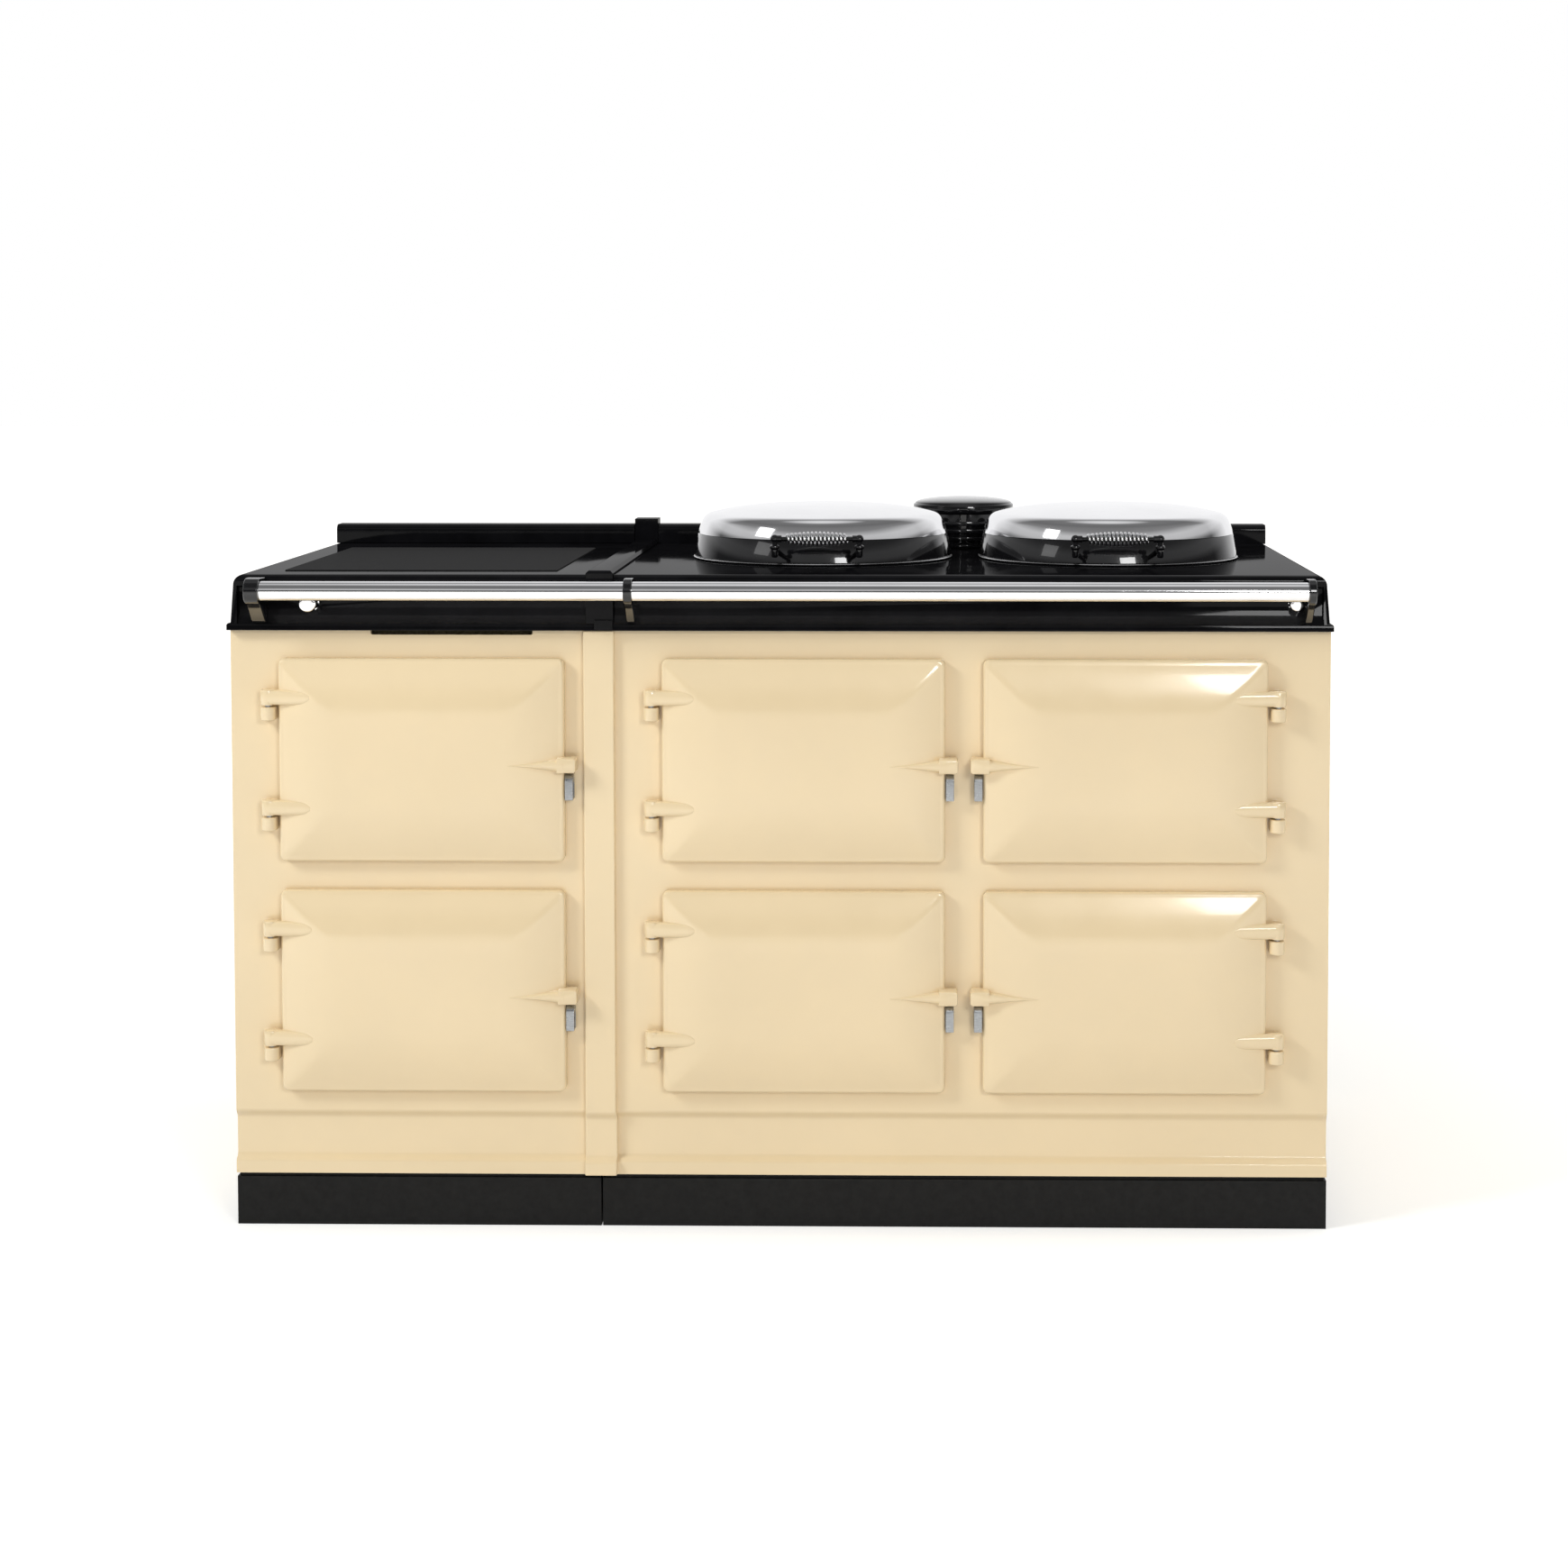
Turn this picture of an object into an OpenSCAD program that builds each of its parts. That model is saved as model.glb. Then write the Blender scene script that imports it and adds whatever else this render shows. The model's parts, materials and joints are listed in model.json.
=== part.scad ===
// Cast iron range cooker: a two-oven module on the left joined to a four-door cooker on the
// right, with two domed hotplate lids, a warming plate, towel rails and a flue cap.
// Millimetres. X runs along the front, -Y faces the cook, Z is up, and the floor is Z = 0.

/* [Cabinet] */
// Width of the left-hand module
left_w = 497; // [485:1:530]
// Width of the right-hand cooker
right_w = 981; // [965:1:1030]
// Depth from the front plates to the back panels
body_d = 632; // [620:1:680]
// Height of the cabinet under the hob
body_h = 813; // [808:1:850]
// Height of the black plinth
plinth_h = 66; // [50:1:70]
// Thickness of the plinth boards
plinth_t = 3; // [2:0.5:5]
// How far the plinth stands behind the front plates
plinth_back = 2; // [1:0.5:6]
// Shadow gap between the plinth and the cabinet
shadow_gap = 6; // [4:1:10]
// Thickness of the steel side panels
side_t = 3; // [2:0.5:5]
// Thickness of the steel back panels
back_t = 2; // [1.5:0.5:4]
// Gap between the two modules
module_gap = 2; // [1:0.5:4]
// Clearance between pieces that seat on each other
seat = 0.3; // [0.2:0.05:0.5]

/* [Front plates] */
// Thickness of the cast front plates
front_t = 8; // [6:0.5:10]
// Depth of the return flange at the outer ends
return_d = 22; // [18:1:30]
// Height of the ledge above the cabinet bottom
ledge_h = 88; // [80:1:95]
// Height of the ogee under the ledge
ogee_h = 14; // [8:1:18]
// How far the skirt lies behind the face
skirt_in = 7; // [4:0.5:9]
// Height of the foot moulding
foot_h = 21; // [16:1:26]
// How far the foot moulding stands out
foot_out = 2; // [1:0.5:4]
// Width of the cover strip over the module joint
cover_w = 41.6; // [36:0.2:46]
// How far the cover strip stands out
cover_out = 9; // [6:0.5:11]
// Width of the cooling slot over the left doors
slot_w = 218; // [180:1:240]
// Height of the cooling slot
slot_h = 7; // [3:0.5:9]
// From the side module's middle to the slot's middle
slot_in = 50; // [0:1:60]
// Chamfer at the slot's lower corners
slot_chamfer = 2.5; // [1:0.5:3]

/* [Doors] */
// From the side module's outer edge to its doors
door_side_left = 67; // [58:0.5:72]
// From the module joint to the side module's doors
door_side_joint = 46; // [44:0.5:58]
// From the cooker's edges in to its doors
door_side = 85; // [75:1:95]
// Distance between the two columns of doors
door_between = 51; // [44:1:60]
// Height of each door
door_h = 274; // [266:1:280]
// Corner radius of the doors
door_corner = 8; // [5:0.5:12]
// Thickness of the door at its rolled edge
door_edge_t = 14; // [12:0.5:18]
// Width of the rolled edge
roll_w = 5; // [4:0.5:8]
// Width of the sloping border of the crowned panel
crown_w = 75; // [60:1:85]
// Rise of the crowned panel
crown_h = 14; // [8:0.5:18]
// Gap between a closed door and the front plate
door_gap = 1.5; // [1:0.1:3]
// From the cabinet top down to the upper doors
door_drop = 38; // [34:1:50]
// Distance from an upper door's top to a lower one's
door_rise = 313; // [300:1:320]
// Thickness of the door lining sheet
lining_t = 1.5; // [1:0.25:3]
// Depth of the insulation space in a door
door_hollow = 12; // [8:1:14]

/* [Door hinges and latches] */
// From the door edge out to the hinge axis
hinge_out = 14; // [12.5:0.5:16]
// From the door back to the hinge axis
hinge_fwd = 11.5; // [10.5:0.5:13]
// From the door top to the upper hinge arm
hinge_upper = 52; // [40:1:60]
// From the door top to the lower hinge arm
hinge_lower = 201; // [180:1:215]
// Height of a hinge arm
arm_h = 21; // [16:1:24]
// How far a hinge arm reaches onto the door
arm_in = 44; // [36:1:50]
// Radius of the hinge knuckles
knuckle_r = 10; // [8.5:0.5:11]
// Radius of the hinge pins
pin_r = 4; // [3:0.25:5]
// Radial clearance of a pin in its arm
pin_play = 0.05; // [0.03:0.01:0.1]
// Gap between a hinge arm and its block
pin_gap = 2.4; // [1.5:0.1:4]
// Height of a hinge block
block_h = 18; // [14:1:24]
// From the door top to the latch arm
latch_drop = 142; // [130:1:150]
// Height of the latch arm's end
latch_h = 20; // [16:1:24]
// How far the latch arm reaches past the door
latch_out = 17; // [13:0.5:18]
// Length of the latch arm's spike on the door
latch_in = 74; // [60:1:82]
// Width of the steel catch
catch_w = 11; // [8:0.5:12]
// Height of the steel catch
catch_h = 37; // [30:1:42]
// Gap between a door's edge and its catch
catch_gap = 1; // [0.8:0.1:3]

/* [Ovens] */
// From a door's side edges in to the oven mouth
mouth_side = 25; // [20:1:30]
// From a door's top and bottom edges in to the oven mouth
mouth_top = 22; // [18:1:28]
// Depth of an oven
oven_d = 460; // [420:1:500]
// Wall of an oven liner
liner_t = 5; // [3:0.5:8]
// Depth of the control compartment
control_d = 190; // [150:1:260]
// Clearance round the door plug in a mouth
plug_gap = 6; // [4:0.5:9]
// How far the door plug enters a mouth
plug_in = 14; // [8:1:18]
// Radius of the shelf frame wire
shelf_r = 3; // [2:0.5:4]
// Height of the shelves over an oven floor
shelf_z = 70; // [50:1:100]
// Radius of the heating element tubes
element_r = 4; // [3:0.5:5]
// Height of the element space under an oven
element_h = 16; // [13:1:20]

/* [Hob] */
// Height of the cast hob
hob_h = 75; // [68:1:85]
// Thickness of the hob's top
hob_t = 9; // [7:0.5:12]
// Wall of the hob's apron
apron_t = 8; // [6:0.5:10]
// How far the hob's lip stands past the sides
lip_side = 2; // [1:0.5:4]
// How far the hob's lip stands past the front
lip_front = 13; // [11:0.5:16]
// Height of the lip
lip_h = 9; // [6:0.5:11]
// How far the ends lie behind the lip
lip_out = 5.5; // [3:0.5:8]
// How far the ends lean in towards the top
end_lean = 4; // [1:0.5:6]
// Corner radius at the hob's ends
end_r = 14; // [8:0.5:18]
// Radius of the front nose
nose_r = 9; // [7:0.5:11]
// Depth of the recessed fascia
fascia_in = 9; // [6:0.5:11]
// Height of the sloping ledge under the fascia
fascia_ledge = 14; // [8:0.5:16]
// Width of the plain cheeks beside the fascia
cheek_w = 14; // [10:0.5:18]
// Height of the upstand at the back
upstand_h = 29.5; // [24:0.5:36]
// Depth of the upstand
upstand_d = 38; // [30:1:44]
// How much higher the post is than the upstand
post_rise = 9; // [4:0.5:14]
// Height of the strip over the hob joint
strip_h = 6; // [4:0.5:9]
// How far the joint strip stands off the front
strip_out = 3; // [2:0.5:5]
// Width of the strip over the hob joint
strip_w = 37; // [34:0.5:42]
// From the module joint to the strip's middle
strip_in = 2.5; // [0:0.5:4]
// Width of the lug at the strip's foot
strip_lug_w = 25; // [15:0.5:30]
// Height of the lug at the strip's foot
strip_lug_h = 13.5; // [11:0.5:16]

/* [Warming plate and hotplates] */
// Width of the warming plate
warm_w = 372; // [340:1:390]
// Depth of the warming plate
warm_d = 426; // [400:1:450]
// From the hob's front edge to the warming plate
warm_back = 64; // [50:1:75]
// Thickness of the warming plate
warm_t = 8; // [7:0.5:10]
// How far the warming plate stands proud
warm_up = 1.5; // [1:0.5:3]
// Radius of the hotplates
hotplate_r = 170; // [160:1:172]
// Thickness of the hotplates
hotplate_t = 28; // [20:1:34]
// How far the hotplates stand proud
hotplate_up = 3; // [1.5:0.5:4]
// Distance between the lid centres
lid_pitch = 415; // [405:1:440]
// From the cooker's middle to the middle of the lids and flue
lid_in = 5.5; // [0:0.5:6]
// From the lid hinge axes back to the upstand
lid_front_of = 58; // [50:1:70]

/* [Lids] */
// How far the lids reach past the hotplates
lid_over = 17; // [14:0.5:20]
// Gap under the closed lids
lid_gap = 0.6; // [0.4:0.1:1.5]
// Height of the enamelled band
band_h = 35; // [28:0.5:40]
// How far the band leans in
band_lean = 5.5; // [3:0.5:8]
// Wall of the band and the dome
lid_t = 2.5; // [2:0.25:4]
// Height of the chrome side above the band
shell_h = 22; // [18:0.5:26]
// How far the chrome side leans in
shell_lean = 7; // [4:0.5:10]
// Radius of the dome's shoulder
shoulder_r = 12; // [8:0.5:16]
// Rise of the dome above its shoulder
dome_rise = 11; // [6:0.5:14]
// Radius of the lid hinge barrels
lid_hinge_r = 11; // [9:0.5:13]
// Radius of the lid hinge pins
lid_pin_r = 5; // [4:0.25:6]
// From the lid's base edge to the hinge axis
lid_hinge_back = 20; // [18:0.5:24]
// Height of the lid hinge axis over the hob
lid_hinge_z = 24; // [22:0.5:27]
// Length of the lid hinge barrel
barrel_w = 96; // [80:1:120]
// Thickness of the lid hinge lugs
lug_w = 12; // [8:1:16]
// Thickness of the lid hinge base
hinge_base_t = 6; // [4:0.5:8]

/* [Coil handles] */
// Length of the coil
coil_len = 97; // [85:1:110]
// Outer radius of the coil at its middle
coil_r = 10.5; // [9.5:0.25:12]
// Outer radius of the coil at its ends
coil_end_r = 7.5; // [7:0.25:9]
// Turns of wire in the coil
coil_turns = 15; // [12:1:17]
// Radius of the coil's wire
wire_r = 1.8; // [1.25:0.05:2]
// Radius of the bar inside the coil
bar_r = 3; // [2:0.25:3.5]
// Height of the handle over the hob
handle_z = 40; // [36:0.5:44]
// From the lid's base edge out to the handle
handle_out = 27; // [24:0.5:34]
// Radius of a handle post's ball
post_ball_r = 6; // [5.5:0.25:7]
// Radius of a handle post's collar
post_collar_r = 6.8; // [6.2:0.2:8]
// Radius of a handle post's stem
post_stem_r = 4.6; // [4.4:0.1:5]
// From the handle's axis down to a post's foot
post_drop = 26; // [25:0.5:28]
// Length of the collars at the coil's ends
coil_seat = 4; // [3:0.5:6]
// Radius of the collars at the coil's ends
coil_collar_r = 5; // [4.25:0.25:5.25]

/* [Rails and knobs] */
// Radius of the rails
rail_r = 13; // [10:0.5:14]
// From the hob's front edge to the rail axis
rail_fwd = 36; // [33:1:44]
// From the hob's top down to the rail axis
rail_drop = 19; // [17.5:0.5:23]
// Width of the left bracket
bracket_left_w = 19; // [15:0.5:24]
// Width of the right bracket
bracket_right_w = 10; // [9.5:0.5:20]
// Width of the middle bracket
bracket_mid_w = 11.5; // [10.5:0.5:20]
// From the hob's lip to the left bracket
bracket_left_in = 36; // [20:1:40]
// From the hob's lip to the right bracket
bracket_right_in = 30; // [20:1:36]
// From the module joint to the middle bracket
bracket_mid_x = 45; // [38:0.5:50]
// Wall of a bracket round its rail
bracket_t = 4.5; // [3:0.5:5]
// Depth of the rail sockets
socket_d = 4; // [3:0.5:4.5]
// Radius of the left knob
knob_left_r = 13; // [11:0.2:14.4]
// Radius of the right knob
knob_right_r = 9.6; // [9:0.2:13]
// Length of the knobs
knob_len = 21; // [16:0.5:22]
// Radius of the knob spindles
spindle_r = 3; // [2.5:0.25:4]
// How far the knobs lie under the fascia's middle
knob_drop = 2.5; // [0:0.5:3]
// From the left bracket to the left knob's axis
knob_left_in = 56; // [30:0.5:120]
// From the right bracket to the right knob's rim
knob_right_in = 1.4; // [1:0.1:40]

/* [Flue] */
// Radius of the flue's neck
neck_r = 60; // [54:1:64]
// Wall of the flue's neck
neck_t = 8; // [6:0.5:10]
// Number of ribs round the neck
neck_ribs = 4; // [2:1:5]
// How far the ribs stand out
rib_out = 5; // [3:0.5:7]
// Height of the neck over the hob
neck_h = 52; // [46:1:60]
// Radius of the flue cap
cap_r = 77; // [72:1:82]
// Height of the cap's rim
cap_rim_h = 15; // [10:0.5:20]
// Rise of the cap's dome
cap_dome = 10; // [6:0.5:14]
// From the back of the hob to the flue axis
flue_in = 91; // [85:1:98]
// Radius of the cable entry bore
cable_r = 6; // [4:0.5:8]
// Wall of the bush round the cable
bush_t = 4; // [3:0.5:5]

/* [Hidden] */

$fn = 64;
eps = 0.01;
cut = 1;

cream = [0.93, 0.85, 0.67];
gloss_black = [0.03, 0.03, 0.035];
matte_black = [0.12, 0.12, 0.125];
chrome = [0.85, 0.86, 0.88];
steel = [0.55, 0.56, 0.58];
dark_steel = [0.30, 0.30, 0.31];
iron = [0.22, 0.22, 0.22];
zinc = [0.62, 0.64, 0.66];
wool = [0.80, 0.76, 0.62];

// Places along X
body_w = left_w + right_w;
x_left = -body_w / 2;
x_right = body_w / 2;
x_split = x_left + left_w;
x_centre_left = x_left + left_w / 2;
x_centre_right = x_split + right_w / 2;
x_flue = x_centre_right + lid_in;
x_strip = x_split + strip_in;
x_lip_left = x_left - lip_side;
x_lip_right = x_right + lip_side;
half_gap = module_gap / 2;

// Places along Y, with the overall depth centred on the origin
rail_reach = lip_front + rail_fwd + rail_r + bracket_t;
front_y = -(body_d + rail_reach) / 2 + rail_reach;
back_y = front_y + body_d;
lip_y = front_y - lip_front;
fascia_y = lip_y + fascia_in;
inner_y = front_y + front_t;
skirt_inner_y = inner_y + skirt_in;
hob_back_y = back_y - 2;
rail_y = lip_y - rail_fwd;
flue_y = hob_back_y - flue_in;

// Places along Z
bottom_z = plinth_h + shadow_gap;
hob_z = body_h + hob_h;
ledge_z = bottom_z + ledge_h;
rail_axis_z = hob_z - rail_drop;
upper_door_z = body_h - door_drop - door_h / 2;
lower_door_z = upper_door_z - door_rise;

// Doors: column centre, row centre, the side that is hinged (-1 left, 1 right) and width
left_door_w = left_w - door_side_left - door_side_joint;
x_column_left = x_left + door_side_left + left_door_w / 2;
right_door_w = (right_w - 2 * door_side - door_between) / 2;
x_column_a = x_split + door_side + right_door_w / 2;
x_column_b = x_right - door_side - right_door_w / 2;
PLATE_WARMING = [x_column_left, upper_door_z, -1, left_door_w];
SLOW = [x_column_left, lower_door_z, -1, left_door_w];
CONTROL = [x_column_a, upper_door_z, -1, right_door_w];
BAKING = [x_column_a, lower_door_z, -1, right_door_w];
ROASTING = [x_column_b, upper_door_z, 1, right_door_w];
SIMMERING = [x_column_b, lower_door_z, 1, right_door_w];
function half_mouth(d) = d[3] / 2 - mouth_side;
half_mouth_h = door_h / 2 - mouth_top;
LEFT_DOORS = [PLATE_WARMING, SLOW];
RIGHT_DOORS = [CONTROL, BAKING, ROASTING, SIMMERING];
DOORS = concat(LEFT_DOORS, RIGHT_DOORS);
OVENS = [PLATE_WARMING, SLOW, BAKING, ROASTING, SIMMERING];
door_back_y = front_y - door_gap;
axis_y = door_back_y - hinge_fwd;

// Lids
x_boiling = x_flue - lid_pitch / 2;
x_simmering = x_flue + lid_pitch / 2;
lid_r = hotplate_r + lid_over;
lid_axis_y = hob_back_y - upstand_d - lid_front_of;
lid_y = lid_axis_y - lid_hinge_back - lid_r;
lid_axis_z = hob_z + lid_hinge_z;
handle_y = lid_y - lid_r - handle_out;
handle_axis_z = hob_z + handle_z;

// ---- Shared shapes ----

// Points on an arc from angle a0 to a1
function arc(c, r, a0, a1, n) =
    [for (i = [0:n]) let (a = a0 + (a1 - a0) * i / n) [c[0] + r * cos(a), c[1] + r * sin(a)]];

// Smooth step from 0 to 1
function ease(t) = (1 - cos(180 * t)) / 2;

module block(x0, x1, y0, y1, z0, z1) {
    translate([x0, y0, z0]) cube([x1 - x0, y1 - y0, z1 - z0]);
}

// An outline drawn in (Y, Z), extruded along X
module along_x(x0, x1) {
    translate([x0, 0, 0]) rotate([90, 0, 90]) linear_extrude(x1 - x0) children();
}

// An outline drawn in (X, Z), extruded along Y
module along_y(y0, y1) {
    translate([0, y1, 0]) rotate([90, 0, 0]) linear_extrude(y1 - y0) children();
}

// A cylinder lying along X
module rod_x(x0, x1, y, z, r) {
    translate([x0, y, z]) rotate([0, 90, 0]) cylinder(h = x1 - x0, r = r);
}

// A cylinder lying along Y
module rod_y(x, y0, y1, z, r) {
    translate([x, y1, z]) rotate([90, 0, 0]) cylinder(h = y1 - y0, r = r);
}

// A closed surface through rings of equal counts, each counter-clockwise seen from the last ring
module skin(rings) {
    n = len(rings[0]);
    m = len(rings);
    points = [for (ring = rings) each ring];
    sides = [for (i = [0:m - 2], j = [0:n - 1]) each
        let (a = i * n + j, b = i * n + (j + 1) % n) [[a, b + n, b], [a, a + n, b + n]]];
    bottom = [for (j = [1:n - 2]) [0, j, j + 1]];
    top = [for (j = [1:n - 2]) let (o = (m - 1) * n) [o, o + j + 1, o + j]];
    polyhedron(points, concat(bottom, sides, top), convexity = 6);
}

// ---- Cabinet ----

module plinth(x0, x1) {
    color(matte_black) {
        y0 = front_y + plinth_back;
        difference() {
            block(x0, x1, y0, back_y - plinth_back, 0, plinth_h);
            block(x0 + plinth_t, x1 - plinth_t, y0 + plinth_t, back_y, -cut, plinth_h + cut);
        }
    }
}
module plinth_left() plinth(x_left, x_split - half_gap);
module plinth_right() plinth(x_split + half_gap, x_right);

// A ring of steel channel on four levelling feet
channel_w = 40;
channel_h = 14;
foot_r = 18;
module base_frame(x0, x1) {
    a = x0 + plinth_t + seat;
    b = x1 - plinth_t - seat;
    y0 = front_y + plinth_back + plinth_t + seat;
    y1 = back_y - plinth_back;
    difference() {
        block(a, b, y0, y1, bottom_z - channel_h, bottom_z - seat);
        block(a + channel_w, b - channel_w, y0 + channel_w, y1 - channel_w, 0, body_h);
    }
    for (x = [a + channel_w / 2, b - channel_w / 2], y = [y0 + channel_w / 2, y1 - channel_w / 2])
        translate([x, y, 0]) {
            cylinder(h = channel_h, r = foot_r);
            cylinder(h = bottom_z - channel_h + eps, r = foot_r / 3);
        }
}
module base_frames() {
    color(zinc) {
        base_frame(x_left, x_split - half_gap);
        base_frame(x_split + half_gap, x_right);
    }
}

// The face of the front plates in (Y, Z): ledge, ogee, skirt and foot moulding
ogee_steps = 6;
function face_points(out) = concat(
    [[front_y - out, body_h]],
    [for (i = [0:ogee_steps]) let (t = i / ogee_steps)
        [front_y - out + skirt_in * ease(t), ledge_z - ogee_h * t]],
    [for (i = [0:ogee_steps]) let (t = i / ogee_steps)
        [front_y - out + skirt_in - (skirt_in + foot_out) * ease(t),
            bottom_z + foot_h + foot_h / 2 * (1 - t) - foot_h / 4]],
    [[front_y - out - foot_out, bottom_z]]);
plate_outline = concat(face_points(0),
    [[skirt_inner_y, bottom_z], [skirt_inner_y, ledge_z], [inner_y, ledge_z + skirt_in],
        [inner_y, body_h]]);

// outer = -1 puts the return flange on the left end, 1 on the right end
return_t = 6;
module front_plate(x0, x1, doors, outer) {
    difference() {
        union() {
            along_x(x0, x1) polygon(plate_outline);
            if (outer < 0) block(x0, x0 + return_t, inner_y - cut, front_y + return_d,
                bottom_z, body_h);
            else block(x1 - return_t, x1, inner_y - cut, front_y + return_d, bottom_z, body_h);
        }
        for (d = doors) translate([d[0], 0, d[1]])
            block(-half_mouth(d), half_mouth(d), front_y - 2 * cut, skirt_inner_y + cut,
                -half_mouth_h, half_mouth_h);
    }
}
// The cooling slot, open at the top under the hob's lip
module cooling_slot() {
    x = x_centre_left + slot_in;
    w = slot_w / 2;
    low = body_h - slot_h;
    along_y(front_y - cut, inner_y + cut) polygon([
        [x - w, body_h + cut], [x - w, low + slot_chamfer], [x - w + slot_chamfer, low],
        [x + w - slot_chamfer, low], [x + w, low + slot_chamfer], [x + w, body_h + cut]]);
}
module front_plate_left() {
    color(cream) difference() {
        front_plate(x_left, x_split - half_gap, LEFT_DOORS, -1);
        cooling_slot();
    }
}
module front_plate_right() {
    color(cream) front_plate(x_split + half_gap, x_right, RIGHT_DOORS, 1);
}

module junction_cover() {
    lower_w = cover_w + 2;
    face = face_points(cover_out);
    back = face_points(seat);
    n = len(back);
    outline = concat(face, [for (i = [n - 1:-1:0]) back[i]]);
    color(cream) {
        intersection() {
            along_x(x_split - lower_w / 2, x_split + lower_w / 2) polygon(outline);
            along_y(front_y - 2 * cover_out, front_y + 2 * skirt_in) polygon([
                [x_split - lower_w / 2, bottom_z], [x_split + lower_w / 2, bottom_z],
                [x_split + lower_w / 2, ledge_z - ogee_h], [x_split + cover_w / 2, ledge_z],
                [x_split + cover_w / 2, body_h], [x_split - cover_w / 2, body_h],
                [x_split - cover_w / 2, ledge_z], [x_split - lower_w / 2, ledge_z - ogee_h]]);
        }
    }
}

module side_panels() {
    y0 = front_y + return_d + seat;
    color(cream) {
        block(x_left, x_left + side_t, y0, back_y - back_t - seat, bottom_z, body_h);
        block(x_right - side_t, x_right, y0, back_y - back_t - seat, bottom_z, body_h);
    }
}

gland_x = x_right - 120;
gland_z = 130;
module back_panels() {
    color(zinc) {
        block(x_left, x_split - half_gap, back_y - back_t, back_y, bottom_z, body_h);
        difference() {
            block(x_split + half_gap, x_right, back_y - back_t, back_y, bottom_z, body_h);
            rod_y(gland_x, back_y - back_t - cut, back_y + cut, gland_z, cable_r + bush_t);
        }
    }
}

// A bush in the back panel for the supply cable
gland_flange_t = 3;
module cable_gland() {
    y0 = back_y - back_t - 2 * gland_flange_t;
    color(matte_black) difference() {
        union() {
            rod_y(gland_x, y0, back_y, gland_z, cable_r + bush_t - seat / 2);
            rod_y(gland_x, y0, back_y - back_t - seat / 2, gland_z, cable_r + 2 * bush_t);
        }
        rod_y(gland_x, y0 - cut, back_y + cut, gland_z, cable_r);
    }
}

// ---- Hob ----

// The hob's side view in (Y, Z), with the fascia not yet recessed
nose_steps = 8;
hob_outline = concat(
    [[lip_y, body_h], [lip_y, body_h + lip_h - 2], [lip_y + 1, body_h + lip_h]],
    arc([lip_y + 1 + nose_r, hob_z - nose_r], nose_r, 180, 90, nose_steps),
    [[hob_back_y, hob_z], [hob_back_y, body_h]]);

// The pocket under the nose: fascia and sloping ledge
fascia_outline = [
    [lip_y - cut, body_h + lip_h], [lip_y + 2, body_h + lip_h],
    [fascia_y, body_h + lip_h + fascia_ledge], [fascia_y, hob_z - 2 * nose_r],
    [lip_y + nose_r / 2, hob_z - 1.7 * nose_r], [lip_y - cut, hob_z - 1.6 * nose_r]];

// The hob's front view in (X, Z): side -1 shapes the left end, 1 the right end
end_steps = 8;
function end_points(side) =
    let (lip = side < 0 ? x_lip_left : x_lip_right,
        wall = lip - side * lip_out,
        top = wall - side * end_lean)
    concat(
        [[lip, body_h], [lip, body_h + lip_h - 2], [lip - side, body_h + lip_h],
            [wall, body_h + lip_h + 1]],
        [for (i = [0:end_steps]) let (a = 90 * i / end_steps)
            [top - side * end_r * (1 - cos(a)), hob_z - end_r + end_r * sin(a)]]);

// The square end at the module joint
function joint_points(side) =
    let (x = x_split - side * half_gap) [[x, hob_z], [x, body_h]];

module hob_shell(side) {
    end_x = side < 0 ? x_lip_left : x_lip_right;
    wall_x = end_x - side * (lip_out + end_lean + apron_t);
    joint_x = x_split - (-side) * half_gap;
    x0 = min(wall_x, joint_x + side * apron_t);
    x1 = max(wall_x, joint_x + side * apron_t);
    difference() {
        intersection() {
            along_x(min(end_x, joint_x), max(end_x, joint_x)) polygon(hob_outline);
            along_y(lip_y - cut, hob_back_y + cut)
                polygon(concat(end_points(side), joint_points(-side)));
        }
        along_x(min(end_x - side * cheek_w, joint_x + -side * cut),
            max(end_x - side * cheek_w, joint_x + -side * cut)) polygon(fascia_outline);
        block(x0, x1, fascia_y + apron_t, hob_back_y - apron_t, body_h - cut, hob_z - hob_t);
    }
}

left_bracket_x = x_lip_left + bracket_left_in;
right_bracket_x = x_lip_right - bracket_right_in - bracket_right_w;
fascia_low = body_h + lip_h + fascia_ledge;
fascia_high = hob_z - 2 * nose_r;
knob_left_x = left_bracket_x + bracket_left_w + knob_left_in;
knob_right_x = right_bracket_x - knob_right_in - knob_right_r;
knob_axis_z = (fascia_low + fascia_high) / 2 - knob_drop;
module spindle_hole(x) {
    rod_y(x, fascia_y - cut, fascia_y + apron_t + cut, knob_axis_z, spindle_r + pin_play);
}

module warming_place(grow, z0, z1) {
    block(x_centre_left - warm_w / 2 - grow, x_centre_left + warm_w / 2 + grow,
        lip_y + warm_back - grow, lip_y + warm_back + warm_d + grow, z0, z1);
}

module hob_left() {
    color(gloss_black) difference() {
        hob_shell(-1);
        warming_place(seat, hob_z + warm_up - warm_t - seat, hob_z + cut);
        spindle_hole(knob_left_x);
    }
}

module hob_right() {
    color(gloss_black) difference() {
        hob_shell(1);
        for (x = [x_boiling, x_simmering])
            translate([x, lid_y, hob_z - hob_t - cut])
                cylinder(h = hob_t + 2 * cut, r = hotplate_r + seat);
        translate([x_flue, flue_y, hob_z - hob_t - cut])
            cylinder(h = hob_t + 2 * cut, r = neck_r - neck_t);
        spindle_hole(knob_right_x);
    }
}

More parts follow.
